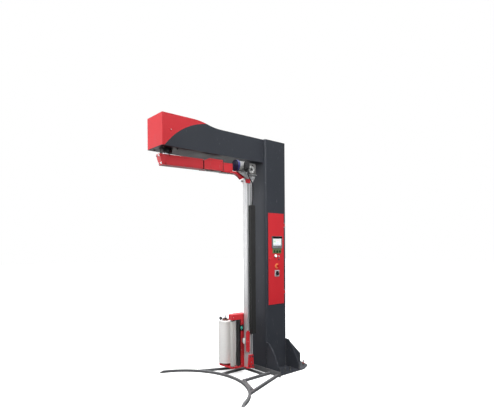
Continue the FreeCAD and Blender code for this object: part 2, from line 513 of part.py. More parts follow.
def carriage_parts():
    rollers = (IDLER_A, IDLER_B, STRETCH_1, STRETCH_2)
    z0 = CARRIAGE_BOTTOM
    outline = [(886, 64), (1105, SPINE_FRONT), (1105, 125), (1030, 335), ((985, 352), (930, 360)), ((862, 330), (843, 262)),
               (850, 225)]
    plate = prism("xy", outline, z0, z0 + 8)
    rim = prism("xy", outline, z0 + 8, z0 + 20)
    inside = prism("xy", [(890, 68), (1101, 61), (1101, 124), (1027, 332), ((983, 348), (930, 356)), ((865, 327), (847, 262)),
                          (854, 226)], z0 + 8, z0 + 20)
    holes = shaft_holes(z0 - 1, z0 + 9, SHAFT_RADIUS + RUNNING, rollers)
    post_gap = box(1026, 1101, SPINE_FRONT + 4, SPINE_BACK, z0 + 8, z0 + 20)
    export("carriage_base", on_arm(cut(fuse(plate, cut(rim, inside, post_gap)), *holes)))

    z0, z1 = TOP_BOX_BOTTOM, CARRIAGE_TOP
    outer = prism("xy", [(873, 57), (1105, 57), (1105, 172), (985, 172), (873, 128)], z0, z1)
    inner = prism("xy", [(876, 60), (1102, 60), (1102, 169), (986, 169), (876, 126)], z0 + 4, z1 - 3)
    holes = shaft_holes(z0 - 1, z0 + 5, SHAFT_RADIUS + RUNNING, rollers)
    export("carriage_top_box", on_arm(cut(outer, inner, *holes)))

    z0, z1 = CARRIAGE_BOTTOM + 8, TOP_BOX_BOTTOM
    spine = box(1026, 1101, SPINE_FRONT + 4, SPINE_BACK, z0, z1).cut(box(1030, 1097, SPINE_FRONT + 8, SPINE_BACK - 4,
                                                                         z0 - 1, z1 + 1))
    apron = box(1008, 1101, SPINE_FRONT, SPINE_FRONT + 4, CARRIAGE_BOTTOM + 20, z1)

    export("carriage_spine", on_arm(fuse(spine, apron)))

    guide = round_across(box(1008, 1061, -51, -45, 291, 552), 14)
    export("guide_plate", on_arm(guide))
    shoes = [box(1043, 1060, -45, -41, z, z + 50) for z in (300, 492)]
    shoes += [box(1072, 1104, 41, SPINE_FRONT, z, z + 50) for z in (300, 492)]
    export("guide_shoes", *[on_arm(shoe) for shoe in shoes])

    bridge = round_across(box(1021, 1034, -45, SPINE_FRONT, 396, 444), 4)
    pad = prism("yz", [(-14, 400), ((6, 385), (26, 400)), (26, 440), ((6, 455), (-14, 440))], 1017, 1021)
    jaws = [box(s, s + 4, 8, 36, 395, 445) for s in (1048.6, 1056.4)]
    stem = box(1047, 1065, 31, SPINE_FRONT, 400, 440)
    export("belt_clamp", on_arm(fuse(bridge, pad)), on_arm(fuse(*jaws, stem)))

    s, t = FILM
    floor = CARRIAGE_BOTTOM + 8
    tip = Part.makeCone(14, 6, 30, Vector(s, t, 678))
    export("film_spindle", on_arm(fuse(rod(40, (s, t, floor), 6), rod(10, (s, t, floor), 584), tip)))
    bore = 10 + RUNNING
    core = tube(41, 38, (s, t, 113), 539)
    flange = tube(47, bore, (s, t, 102), 11)
    plugs = [tube(38, bore, (s, t, z), 30) for z in (113, 622)]
    cap = tube(38, bore, (s, t, 652), 9)
    export("core_holder", on_arm(fuse(core, flange, *plugs, cap)))
    export("film_roll", on_arm(tube(FILM_RADIUS, 41, (s, t, 120), 524)))
    ball = (s - 51, t + 32, 670)
    reach = math.hypot(51, 32)
    arm = rod(4, (s - 51 * 14 / reach, t + 32 * 14 / reach, 669), reach - 24, Vector(-51, 32, 0))
    knob = Part.makeSphere(21, Vector(*ball))
    collar = tube(16, bore, (s, t, 663), 13)
    export("spindle_lever", on_arm(fuse(collar, arm, knob)))


def roller(place, radius, top):
    """A roller between the carriage's plates, on a shaft that turns in both."""
    s, t = place
    shaft = rod(SHAFT_RADIUS, (s, t, CARRIAGE_BOTTOM + 2), top - CARRIAGE_BOTTOM - 2)
    sleeve = rod(radius, (s, t, 108), 664 - 108)
    return sleeve, shaft


def roller_parts():
    below_box = TOP_BOX_BOTTOM + 4
    for name, place, radius in (("idler_roller_a", IDLER_A, IDLER_A_RADIUS), ("idler_roller_b", IDLER_B, IDLER_B_RADIUS)):
        export(name, on_arm(fuse(*roller(place, radius, below_box))))
    lift = 704
    toward = math.atan2(STRETCH_2[1] - STRETCH_1[1], STRETCH_2[0] - STRETCH_1[0])
    for name, place, teeth, mesh_angle, shift in (("prestretch_roller_1", STRETCH_1, FAST_TEETH, toward, 0.0),
                                                  ("prestretch_roller_2", STRETCH_2, SLOW_TEETH, toward + math.pi, 0.5)):
        phase = mesh_angle / (2 * math.pi) * teeth + shift
        wheel = gear(teeth, STRETCH_MODULE, SHAFT_RADIUS, (place[0], place[1], 688), 12, phase)
        export(name, on_arm(fuse(*roller(place, STRETCH_RADIUS, lift), wheel)))


column_parts()
boom_parts()
guard_parts()
door_parts()
arm_parts()
mast_parts()
lift_drive_parts()
lift_cable()
carriage_parts()
roller_parts()
print(len(os.listdir("parts")), "parts")
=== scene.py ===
"""Rotary-arm pallet wrapper: finishes for every part, small detail pieces, camera, light and floor.
Metres, in the same frame as the machine: +Z up, the load towards -X, the control door facing -Y."""

import random
from itertools import product
from math import atan2, cos, degrees, pi, radians, sin, sqrt

import bmesh
import bpy
from mathutils import Matrix, Vector


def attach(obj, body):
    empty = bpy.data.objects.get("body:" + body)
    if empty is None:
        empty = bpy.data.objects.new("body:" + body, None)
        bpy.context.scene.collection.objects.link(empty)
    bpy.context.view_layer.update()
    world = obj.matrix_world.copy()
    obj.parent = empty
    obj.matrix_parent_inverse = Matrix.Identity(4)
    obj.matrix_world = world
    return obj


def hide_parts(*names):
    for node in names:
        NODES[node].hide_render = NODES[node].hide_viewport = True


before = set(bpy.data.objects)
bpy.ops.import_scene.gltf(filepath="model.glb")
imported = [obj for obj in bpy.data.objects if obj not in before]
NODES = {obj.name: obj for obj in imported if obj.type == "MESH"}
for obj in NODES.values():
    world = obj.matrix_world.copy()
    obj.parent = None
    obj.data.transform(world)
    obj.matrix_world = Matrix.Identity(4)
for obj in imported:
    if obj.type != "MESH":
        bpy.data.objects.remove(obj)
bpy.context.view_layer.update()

random.seed(7)
ARM_AXIS_X = -1.491
ARM_YAW = radians(-6.5)
ARM_TO_WORLD = Matrix.Translation((ARM_AXIS_X, 0, 0)) @ Matrix.Rotation(ARM_YAW, 4, "Z")


# ---- node material helpers ----
class Mat:
    """Builds one procedural material, with short calls for the nodes that these finishes share."""

    def __init__(self, name, base, rough, metallic=0.0, specular=0.5):
        self.mat = bpy.data.materials.new(name)
        self.mat.use_nodes = True
        self.nodes = self.mat.node_tree.nodes
        self.links = self.mat.node_tree.links
        self.shader = self.nodes["Principled BSDF"]
        self.put({"Base Color": (*base, 1), "Roughness": rough, "Metallic": metallic,
                  "Specular IOR Level": specular})
        self.color = self.rgb(base)
        self.rough = self.value(rough)
        self.height = []
        coords = self.nodes.new("ShaderNodeTexCoord")
        self.place = coords.outputs["Object"]

    def node(self, kind, **settings):
        n = self.nodes.new("ShaderNode" + kind)
        for key, val in settings.items():
            setattr(n, key, val)
        return n

    def rgb(self, c):
        n = self.node("RGB")
        n.outputs[0].default_value = (*c, 1)
        return n.outputs[0]

    def value(self, v):
        n = self.node("Value")
        n.outputs[0].default_value = v
        return n.outputs[0]

    def math(self, op, a, b=None, c=None, clamp=False):
        n = self.node("Math", operation=op, use_clamp=clamp)
        for k, v in enumerate((a, b, c)):
            if v is None:
                continue
            if isinstance(v, (int, float)):
                n.inputs[k].default_value = v
            else:
                self.links.new(v, n.inputs[k])
        return n.outputs[0]

    def mix(self, share, a, b):
        n = self.node("Mix", data_type="RGBA", blend_type="MIX")
        for socket, v in ((n.inputs[0], share), (n.inputs[6], a), (n.inputs[7], b)):
            if isinstance(v, (int, float)):
                socket.default_value = v
            elif isinstance(v, tuple):
                socket.default_value = (*v, 1)
            else:
                self.links.new(v, socket)
        return n.outputs[2]

    def stretch(self, scale):
        n = self.node("Mapping")
        self.links.new(self.place, n.inputs["Vector"])
        n.inputs["Scale"].default_value = scale
        return n.outputs[0]

    def noise(self, scale, detail, place=None, low=0.35, high=0.65):
        n = self.node("TexNoise")
        n.inputs["Scale"].default_value = scale
        n.inputs["Detail"].default_value = detail
        n.inputs["Roughness"].default_value = 0.55
        self.links.new(place or self.place, n.inputs["Vector"])
        return self.ramp(n.outputs[0], low, high)

    def ramp(self, source, low, high):
        n = self.node("MapRange")
        n.inputs["From Min"].default_value = low
        n.inputs["From Max"].default_value = high
        self.links.new(source, n.inputs["Value"])
        return n.outputs[0]

    def cells(self, scale):
        n = self.node("TexVoronoi", feature="F1")
        n.inputs["Scale"].default_value = scale
        self.links.new(self.place, n.inputs["Vector"])
        return n.outputs["Distance"]

    def edge(self, radius):
        """1 along sharp edges and 0 on flat faces, from how far a bevel turns the normal."""
        bevel = self.node("Bevel", samples=4)
        bevel.inputs["Radius"].default_value = radius
        geometry = self.node("NewGeometry")
        dot = self.node("VectorMath", operation="DOT_PRODUCT")
        self.links.new(bevel.outputs[0], dot.inputs[0])
        self.links.new(geometry.outputs["Normal"], dot.inputs[1])
        return self.ramp(dot.outputs["Value"], 0.995, 0.90)

    def along(self, axis):
        """The place along an axis: 0 for X, 1 for Y, 2 for Z."""
        split = self.node("SeparateXYZ")
        self.links.new(self.place, split.inputs[0])
        return split.outputs[axis]

    def tint(self, mask, color, share=None):
        """Lays a colour over the mask, at full strength or at a share of it."""
        self.color = self.mix(mask if share is None else self.math("MULTIPLY", mask, share), self.color, color)

    def add_rough(self, amount, mask):
        self.rough = self.math("ADD", self.rough, self.math("MULTIPLY", mask, amount), clamp=True)

    def bump(self, mask, strength, distance):
        self.height.append((mask, strength, distance))

    def put(self, values):
        """Sets inputs of the shader that stay constant."""
        for name, v in values.items():
            self.shader.inputs[name].default_value = v

    def done(self, round_edges=0.0015):
        s = self.shader
        self.links.new(self.color, s.inputs["Base Color"])
        self.links.new(self.rough, s.inputs["Roughness"])
        normal = None
        if round_edges:
            bevel = self.node("Bevel", samples=4)
            bevel.inputs["Radius"].default_value = round_edges
            normal = bevel.outputs[0]
        for mask, strength, distance in self.height:
            n = self.node("Bump")
            n.inputs["Strength"].default_value = strength
            n.inputs["Distance"].default_value = distance
            self.links.new(mask, n.inputs["Height"])
            if normal:
                self.links.new(normal, n.inputs["Normal"])
            normal = n.outputs[0]
        if normal:
            self.links.new(normal, s.inputs["Normal"])
        return self.mat


def shade(color, factor, lift=0.0):
    """The colour made lighter or darker, and raised by a small even amount."""
    return tuple(min(1, c * factor + lift) for c in color)


def powder_coat(name, color, rough, dust, wear=(0.30, 0.30, 0.31), specular=0.3):
    """Orange-peel powder coat: mottling, rubbed edges, small scuffs, and dust that thickens near the floor."""
    m = Mat(name, color, rough, specular=specular)
    cloud = m.noise(3.2, 4, low=0.3, high=0.7)
    m.tint(cloud, shade(color, 1.35, 0.01), 0.16)
    streaks = m.noise(9, 3, place=m.stretch((1, 1, 0.10)), low=0.48, high=0.8)
    m.tint(streaks, shade(color, 0.72), 0.10)
    scuffs = m.noise(42, 5, place=m.stretch((1.4, 1.4, 0.25)), low=0.66, high=0.72)
    m.tint(scuffs, wear, 0.22)
    rubbed = m.math("MULTIPLY", m.edge(0.004), m.noise(24, 4, low=0.45, high=0.75))
    m.tint(rubbed, wear, 0.45)
    low_down = m.ramp(m.along(2), 0.9, 0.0)
    film = m.math("MULTIPLY", m.math("MULTIPLY", low_down, m.noise(7, 4, low=0.25, high=0.75)), dust)
    m.tint(film, (0.20, 0.19, 0.18))
    m.add_rough(0.16, cloud)
    m.add_rough(0.25, film)
    m.bump(m.noise(420, 2, low=0.3, high=0.7), 0.10, 0.0006)
    m.bump(m.noise(26, 3, low=0.3, high=0.7), 0.05, 0.002)
    m.put({"Coat Weight": 0.06, "Coat Roughness": 0.25})
    return m.done(0.0016)


def brushed(name, color, rough, along, metallic=1.0, grain=0.5, stain=0.18):
    """Drawn or ground metal: fine grain along one direction, faint blotches and dull edges."""
    m = Mat(name, color, rough, metallic)
    lines = m.noise(900, 3, place=m.stretch(along), low=0.3, high=0.7)
    m.tint(lines, shade(color, 0.62), 0.22 * grain)
    blotch = m.noise(14, 4, low=0.35, high=0.75)
    m.tint(blotch, shade(color, 0.78), stain)
    m.add_rough(0.78 * stain, blotch)
    m.add_rough(0.10 * grain, lines)
    m.bump(lines, 0.10 * grain, 0.0003)
    return m.done(0.0008)


def zinc(name, color=(0.40, 0.405, 0.41)):
    """Galvanised or zinc-plated steel: soft crystalline patches of different brightness."""
    m = Mat(name, color, 0.38, 0.8)
    patch = m.ramp(m.cells(60), 0.0, 0.9)
    m.tint(patch, shade(color, 0.68), 0.35)
    haze = m.noise(18, 4, low=0.35, high=0.7)
    m.tint(haze, shade(color, 1.3), 0.20)
    m.add_rough(0.18, haze)
    m.add_rough(0.12, patch)
    m.bump(m.noise(150, 3), 0.08, 0.0004)
    return m.done(0.001)


def cast_metal(name, color, rough, metallic):
    """Die-cast metal with a fine sand-like skin and slightly darker blotches."""
    m = Mat(name, color, rough, metallic)
    grit = m.noise(520, 3, low=0.3, high=0.7)
    m.tint(grit, shade(color, 0.7), 0.20)
    stain = m.noise(22, 4, low=0.45, high=0.8)
    m.tint(stain, shade(color, 0.55), 0.28)
    m.add_rough(0.15, stain)
    m.bump(grit, 0.22, 0.0006)
    return m.done(0.0018)


def enamel(name, color, rough=0.35):
    """Thick machine enamel with brush-soft relief and worn edges."""
    m = Mat(name, color, rough)
    cloud = m.noise(16, 4, low=0.3, high=0.7)
    m.tint(cloud, shade(color, 1.5, 0.01), 0.22)
    worn = m.math("MULTIPLY", m.edge(0.003), m.noise(60, 3, low=0.45, high=0.7))
    m.tint(worn, (0.35, 0.35, 0.36), 0.40)
    m.add_rough(0.15, cloud)
    m.bump(m.noise(240, 2), 0.14, 0.0008)
    return m.done(0.0012)


def plastic(name, color, rough, grain=600, relief=0.18, lift=1.5):
    """Moulded plastic with a fine spark-eroded grain, faint flow marks and handling shine."""
    m = Mat(name, color, rough)
    flow = m.noise(12, 3, place=m.stretch((1, 1, 0.4)), low=0.3, high=0.7)
    m.tint(flow, shade(color, lift, 0.004), 0.18)
    fine = m.noise(grain, 2, low=0.3, high=0.7)
    m.tint(fine, shade(color, 0.75), 0.12)
    shine = m.noise(30, 4, low=0.5, high=0.8)
    m.rough = m.math("SUBTRACT", m.rough, m.math("MULTIPLY", shine, 0.10), clamp=True)
    m.add_rough(0.08, fine)
    m.bump(fine, relief, 0.0005)
    return m.done(0.001)


def rubber(name, color, lines=None):
    """Ground or moulded rubber: dull, a little dusty, with a turned or corded surface."""
    m = Mat(name, color, 0.62)
    dusty = m.noise(20, 4, low=0.4, high=0.8)
    m.tint(dusty, (0.13, 0.13, 0.13), 0.25)
    fine = m.noise(700, 2, place=m.stretch(lines or (1, 1, 1)), low=0.3, high=0.7)
    m.add_rough(0.2, dusty)
    m.bump(fine, 0.3, 0.0005)
    return m.done(0.0008)


def screen_picture():
    """A lit touch screen: a pale page with a header, some plain fields and a row of keys, under smooth glass."""
    m = Mat("lit_screen", (0.86, 0.87, 0.86), 0.14)
    across, up = m.along(0), m.along(2)
    left, low, wide, high = -0.069, 1.5745, 0.158, 0.094

    def field(x0, x1, z0, z1, color):
        """A rectangle given as shares of the picture's width and height."""
        inside = m.math("MULTIPLY",
                        m.math("COMPARE", across, left + wide * (x0 + x1) / 2, wide * (x1 - x0) / 2),
                        m.math("COMPARE", up, low + high * (z0 + z1) / 2, high * (z1 - z0) / 2))
        m.tint(inside, color)

    field(0.0, 1.0, 0.88, 1.0, (0.62, 0.66, 0.70))
    field(0.06, 0.34, 0.34, 0.80, (0.70, 0.86, 0.72))
    field(0.10, 0.30, 0.52, 0.58, (0.30, 0.42, 0.34))
    field(0.40, 0.66, 0.58, 0.80, (0.90, 0.74, 0.74))
    field(0.40, 0.66, 0.34, 0.52, (0.74, 0.80, 0.90))
    field(0.72, 0.94, 0.34, 0.80, (0.80, 0.80, 0.78))
    for k in range(5):
        field(0.05 + 0.19 * k, 0.19 + 0.19 * k, 0.07, 0.22, (0.58, 0.62, 0.66))
    haze = m.noise(90, 3)
    m.tint(haze, (0.78, 0.80, 0.82), 0.06)
    m.add_rough(0.10, haze)
    m.links.new(m.color, m.shader.inputs["Emission Color"])
    m.put({"Emission Strength": 0.30, "Coat Weight": 0.6, "Coat Roughness": 0.06})
    return m.done(0)


dark_coat = powder_coat("dark_powder_coat", (0.035, 0.039, 0.049), 0.42, 0.07)
red_coat = powder_coat("red_powder_coat", (0.64, 0.018, 0.028), 0.42, 0.10, (0.42, 0.20, 0.20), 0.5)
guard_coat = powder_coat("grey_powder_coat", (0.13, 0.132, 0.138), 0.40, 0.3, (0.45, 0.45, 0.45))

zinc_finish = zinc("zinc_steel")
machined = brushed("machined_steel", (0.48, 0.48, 0.50), 0.28, (0.04, 0.04, 1))
black_oxide = enamel("blackened_steel", (0.018, 0.018, 0.020), 0.40)
duct_black = plastic("duct_black", (0.012, 0.012, 0.012), 0.6)
black_plastic = plastic("black_plastic", (0.020, 0.020, 0.022), 0.48)
cast_grey = cast_metal("cast_grey", (0.17, 0.165, 0.16), 0.5, 0.3)
motor_black = enamel("motor_black", (0.014, 0.014, 0.016), 0.5)
motor_blue = enamel("motor_blue", (0.034, 0.034, 0.17), 0.36)
grey_plastic = plastic("grey_plastic", (0.50, 0.51, 0.52), 0.42, lift=1.15)
safety_orange = plastic("safety_orange", (0.85, 0.27, 0.09), 0.42, lift=1.1)
safety_red = plastic("safety_red", (0.56, 0.012, 0.012), 0.26, lift=1.2)
green_plastic = plastic("button_green", (0.004, 0.055, 0.006), 0.30)

FINISHES = (
    (dark_coat, "base_plate base_gussets column_shell boom_beam"),
    (red_coat, "boom_end_cover control_door door_lock arm_box arm_middle_cover arm_knee mast_clamp_plates"),
    (red_coat, "mast_foot carriage_base carriage_top_box carriage_spine guide_plate"),
    (guard_coat, "guard_bow guard_frame"),
    (zinc_finish, "levelling_screws hinge_brackets mast_head_bracket belt_clamp"),
    (machined, "film_spindle main_shaft slew_gear drive_pinion drive_pulley return_pulley"),
    (black_oxide, "slewing_bearing_outer slewing_bearing_inner"),
    (brushed("anodised_aluminium", (0.74, 0.74, 0.75), 0.34, (1, 1, 0.015), 0.65, 0.6), "mast_profile"),
    (cast_grey, "lift_gearbox"),
    (motor_black, "lift_motor"),
    (motor_blue, "motor_fan_cover"),
    (enamel("motor_grey", (0.20, 0.22, 0.25)), "rotation_gearmotor"),
    (rubber("belt_rubber", (0.022, 0.022, 0.022), (1, 1, 0.02)), "lift_belt"),
    (rubber("roller_rubber", (0.020, 0.020, 0.021), (0.05, 0.05, 1)), "prestretch_roller_1 prestretch_roller_2"),
    (brushed("roller_steel", (0.90, 0.88, 0.84), 0.40, (0.03, 0.03, 1), 0.50, 0.05, 0.03),
     "idler_roller_a idler_roller_b"),
    (plastic("core_brown", (0.12, 0.035, 0.030), 0.55), "core_holder"),
    (black_plastic, "mains_gland slip_ring_body lift_cable guide_shoes main_switch_knob spindle_lever"),
    (duct_black, "cable_duct"),
    (grey_plastic, "main_switch_plate"),
    (plastic("bezel_grey", (0.13, 0.135, 0.145), 0.42), "touch_screen_housing"),
    (plastic("label_green", (0.15, 0.20, 0.085), 0.50, lift=1.2), "button_plate"),
    (safety_orange, "estop_collar"),
    (safety_red, "estop_button"),
    (plastic("cabinet_parts", (0.42, 0.43, 0.44), 0.5, lift=1.2), "electrical_panel"),
    (plastic("button_white", (0.86, 0.87, 0.87), 0.22, lift=1.1), "white_button"),
    (screen_picture(), "touch_screen_glass"),
    (plastic("stretch_film", (0.90, 0.865, 0.845), 0.22, lift=1.06), "film_roll"),
    (green_plastic, "green_button_1 green_button_2 green_button_3"),
)
node_finish = {name: finish for finish, names in FINISHES for name in names.split()}

for name, obj in NODES.items():
    obj.data.materials.clear()
    obj.data.materials.append(node_finish[name])


# ---- mesh helpers ----
# Shapes are drawn in millimetres, into one mesh. piece() makes a piece of what has been drawn, and clears it.
bm = bmesh.new()
MM = Matrix.Scale(0.001, 4)
ARM_MM = ARM_TO_WORLD @ MM
AXIS_X = ARM_AXIS_X * 1000
AXES = {"x": Vector((1, 0, 0)), "y": Vector((0, 1, 0)), "z": Vector((0, 0, 1))}


def add_object(name, data):
    obj = bpy.data.objects.new(name, data)
    bpy.context.scene.collection.objects.link(obj)
    return obj


def direction(axis):
    """A unit vector from a name such as 'x' or '-y', or from a vector."""
    if isinstance(axis, str):
        return AXES[axis[-1]] * (-1 if axis[0] == "-" else 1)
    return Vector(axis).normalized()


def reach(angle, shape):
    """How far an outline lies from its centre: 0 for a circle, a polygon's side count, or a (width, height)."""
    if isinstance(shape, tuple):
        return min(shape[0] / max(abs(cos(angle)), 1e-6), shape[1] / max(abs(sin(angle)), 1e-6))
    if shape:
        step = 2 * pi / shape
        return cos(step / 2) / cos((angle % step) - step / 2)
    return 1.0


def skin(rings, loop=False):
    """Joins rings of vertices in turn; a ring of one vertex is a tip. A loop joins the last ring to the first."""
    for low, high in zip(rings, rings[1:] + (rings[:1] if loop else [])):
        count = max(len(low), len(high))
        for k in range(count if count > 1 else 0):
            n = (k + 1) % count
            if len(low) == 1:
                bm.faces.new((low[0], high[n], high[k]))
            elif len(high) == 1:
                bm.faces.new((low[k], low[n], high[0]))
            else:
                bm.faces.new((low[k], low[n], high[n], high[k]))
    for end in () if loop else (rings[0], rings[-1]):
        if len(end) > 1:
            bm.faces.new(end)


def turned(profile, at, axis, steps=32, phase=0.0):
    """Turns a profile about an axis. A point is (radius, along), and may add an outline's shape, which the radius
    scales. A profile that starts on the axis also ends there; any other closes on itself."""
    lean = direction(axis).to_track_quat("Z", "Y").to_matrix().to_4x4()
    place = Matrix.Translation(at) @ lean
    rings = []
    for point in profile:
        radius, along = point[0], point[1]
        shape = point[2] if len(point) > 2 else 0
        if radius < 1e-6:
            rings.append([bm.verts.new(place @ Vector((0, 0, along)))])
            continue
        ring = []
        for k in range(steps):
            angle = 2 * pi * k / steps + phase
            r = radius * reach(angle, shape)
            ring.append(bm.verts.new(place @ Vector((r * cos(angle), r * sin(angle), along))))
        rings.append(ring)
    skin(rings, loop=profile[0][0] > 0)


def block(lo, hi, bevel=0.8, segments=2, turn=None):
    """A box with rounded edges, optionally turned about its centre by (axis, degrees)."""
    size = [h - l for l, h in zip(lo, hi)]
    centre = Vector([(l + h) / 2 for l, h in zip(lo, hi)])
    spin = Matrix.Rotation(radians(turn[1]), 4, direction(turn[0])) if turn else Matrix.Identity(4)
    place = Matrix.Translation(centre) @ spin @ Matrix.Diagonal((*size, 1))
    made = bmesh.ops.create_cube(bm, size=1, matrix=place)["verts"]
    edges = list({e for v in made for e in v.link_edges})
    bmesh.ops.bevel(bm, geom=edges, offset=min(bevel, min(size) * 0.45), segments=segments, affect="EDGES")


def hex_bolt(at, axis, across, height=None):
    """A hexagon head with its chamfer, on a flat washer."""
    high = height or across * 0.62
    base = across * 0.16
    round_r = across / 2 / cos(pi / 6)
    turned([(0, 0), (across * 0.98, 0), (across * 0.98, base * 0.8), (across * 0.93, base), (0, base)], at,
           axis)
    phase = 0.4 + 0.7 * ((at[0] * 7 + at[2] * 3) % 1)   # no two heads stop at the same angle
    turned([(0, base), (round_r, base, 6), (round_r, base + high * 0.82, 6), (across * 0.47, base + high),
           (0, base + high)], at, axis, 24, phase=phase)


def socket_screw(at, axis, radius, high):
    """A round head with a sunk hexagon."""
    turned([(0, 0), (radius, 0), (radius, high * 0.8), (radius * 0.88, high), (radius * 0.56, high, 6),
           (radius * 0.50, high * 0.35, 6), (0, high * 0.30)], at, axis, 24)


def pan_screw(at, axis, radius):
    """A domed head with a sunk drive."""
    dome = [(radius * cos(a), 0.62 * radius * sin(a)) for a in (0.0, 0.35, 0.7, 1.05)]
    turned([(0, -0.4), (radius, -0.4)] + dome + [(radius * 0.36, radius * 0.56, 6),
           (radius * 0.30, radius * 0.25, 6), (0, radius * 0.2)], at, axis, 24)


def bead(points, radius):
    """A weld bead along a polyline: overlapping ripples with a slightly uneven width."""
    path = [Vector(p) for p in points]
    pitch, sides = 2.6, 6
    samples = []
    for start, end in zip(path, path[1:]):
        count = max(2, int((end - start).length / pitch * 2))
        samples += [start.lerp(end, k / count) for k in range(count)]
    samples.append(path[-1])
    rings = []
    for k, here in enumerate(samples):
        run = (samples[min(k + 1, len(samples) - 1)] - samples[max(k - 1, 0)]).normalized()
        side = run.orthogonal().normalized()
        up = run.cross(side)
        end_taper = 0.45 if k in (0, len(samples) - 1) else 1.0
        r = radius * end_taper * (1.0 + 0.16 * (1 if k % 2 else -1) + random.uniform(-0.08, 0.08))
        rings.append([bm.verts.new(here + side * r * cos(a) + up * r * sin(a))
                      for a in [2 * pi * j / sides for j in range(sides)]])
    skin(rings)


def wire(points, radius):
    """A round wire along a smooth line through the points."""
    path = [Vector(p) for p in points]
    steps, sides = 6, 8
    line = []
    padded = [path[0]] + path + [path[-1]]
    for a, b, c, d in zip(padded, padded[1:], padded[2:], padded[3:]):
        for k in range(steps):
            t = k / steps
            line.append(0.5 * ((2 * b) + (c - a) * t + (2 * a - 5 * b + 4 * c - d) * t * t
                               + (3 * b - a - 3 * c + d) * t * t * t))
    line.append(path[-1])
    side = (line[1] - line[0]).orthogonal().normalized()
    rings = []
    for k, here in enumerate(line):
        run = (line[min(k + 1, len(line) - 1)] - line[max(k - 1, 0)]).normalized()
        side = (side - run * side.dot(run)).normalized()
        up = run.cross(side)
        rings.append([bm.verts.new(here + (side * cos(a) + up * sin(a)) * radius)
                      for a in [2 * pi * j / sides for j in range(sides)]])
    skin(rings)


def piece(name, finish, body, arm=False, smooth=35):
    """Makes a piece of the drawn shapes, in the world's frame or the arm's, riding on a body."""
    bm.transform(ARM_MM if arm else MM)
    bmesh.ops.recalc_face_normals(bm, faces=bm.faces)
    limit = radians(smooth)
    for face in bm.faces:
        face.smooth = True
    for edge in bm.edges:
        edge.smooth = edge.is_manifold and edge.calc_face_angle(0) < limit
    mesh = bpy.data.meshes.new(name)
    bm.to_mesh(mesh)
    bm.clear()
    obj = add_object(name, mesh)
    mesh.materials.append(finish)
    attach(obj, body)
    return obj


def arm_piece(name, finish, body="rotating_arm", smooth=35):
    """A piece drawn in the arm's frame."""
    return piece(name, finish, body, True, smooth)


def around(count, radius, first=0.0):
    """Evenly spaced spots on a circle: (angle in degrees, first offset, second offset)."""
    for k in range(count):
        a = radians(first + 360 / count * k)
        yield degrees(a), radius * cos(a), radius * sin(a)


# ---- finishes of the detail pieces ----
bright_zinc = zinc("bright_zinc", (0.70, 0.71, 0.72))
dark_screw = enamel("dark_screws", (0.035, 0.035, 0.038), 0.35)
weld_dark = enamel("weld_painted_dark", (0.028, 0.030, 0.037), 0.42)
weld_grey = enamel("weld_painted_grey", (0.11, 0.112, 0.118), 0.45)
gloss_black = plastic("gloss_black", (0.010, 0.010, 0.011), 0.12, 900, 0.04)
seal_rubber = rubber("seal_rubber", (0.018, 0.018, 0.018))
grooved_rubber = rubber("grooved_rubber", (0.016, 0.016, 0.017), (0.04, 0.04, 1))
white_plastic = plastic("white_plastic", (0.84, 0.84, 0.83), 0.38, lift=1.08)
teal_plastic = plastic("teal_plastic", (0.045, 0.42, 0.33), 0.32, lift=1.25)
polished = brushed("polished_steel", (0.78, 0.79, 0.80), 0.16, (0.03, 0.03, 1), grain=0.7)

# ---- base and column ----
for x, y in ((-140, 378), (-45, 378), (45, 378), (215, 378), (395, 300)):
    for side in (-1, 1):
        thread = [(0, 0), (8, 0)]
        for k in range(28):
            thread += [(8.0, 14 + k * 2.0), (7.1, 15 + k * 2.0)]
        thread += [(6.6, 70), (4.2, 70, 6), (3.9, 65.5, 6), (0, 65.2)]
        turned(thread, (x, side * y, 0), "z", 24)
        turned([(8.1, 15.2), (15.5, 15.2), (15.5, 17.2), (8.1, 17.2)], (x, side * y, 0), "z", 32)
        turned([(8.1, 17.4), (11.5, 17.4), (13.4, 18.4, 6), (13.4, 26.8, 6), (11.5, 28), (8.1, 28)],
               (x, side * y, 0), "z", 36, phase=0.3 + x * 0.01)
screws = piece("levelling_screw_set", zinc("aged_zinc", (0.15, 0.15, 0.15)), "column")
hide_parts("levelling_screws")

turned([(8.2, 28.2), (13.5, 28.2), (14.5, 29.2), (14.5, 35), (13.2, 36.4), (8.2, 36.4)], (395, -300, 0), "z",
       40)
piece("levelling_screw_marker", plastic("marker_red", (0.50, 0.05, 0.03), 0.4, lift=1.2), "column")

for x0 in (-184, 172):
    for side in (-1, 1):
        for edge in (x0, x0 + 12):
            bead([(edge, side * 196.5, 17), (edge, side * 196.5, 370)], 2.6)
            bead([(edge, side * 199, 16.5), (edge, side * 396, 16.5)], 2.6)
for y0 in (-189, 177):
    for edge in (y0, y0 + 12):
        bead([(185.5, edge, 17), (185.5, edge, 365)], 2.6)
        bead([(188, edge, 16.5), (465, edge, 16.5)], 2.6)
piece("gusset_welds", weld_dark, "column")

for side in (-1, 1):
    bead([(-162, side * 196, 16), (162, side * 196, 16)], 2.2)
    bead([(side * 185, -150, 16), (side * 185, 150, 16)], 2.2)
    bead([(-185, side * 152, 2613), (-185, side * 152, 2898)], 2.2)
bead([(-185, -150, 2611), (-185, 150, 2611)], 2.2)
piece("column_welds", weld_dark, "column")

turned([(7.4, -5), (10, -5), (17, -3), (19.5, 0, 12), (19.5, 12, 12), (17, 15, 12), (9, 16), (7.4, 16)],
       (90, 227, 130), "y", 48)
turned([(7.4, 16), (9.2, 16), (8.6, 19), (9.0, 20), (8.0, 24), (7.4, 24)], (90, 227, 130), "y", 32)
turned([(16.2, 0), (21.8, 0.2, 6), (23.5, 1, 6), (23.5, 9, 6), (21.8, 10), (16.2, 10)], (90, 195.2, 130), "y",
       36)
piece("mains_gland_nuts", black_plastic, "column")

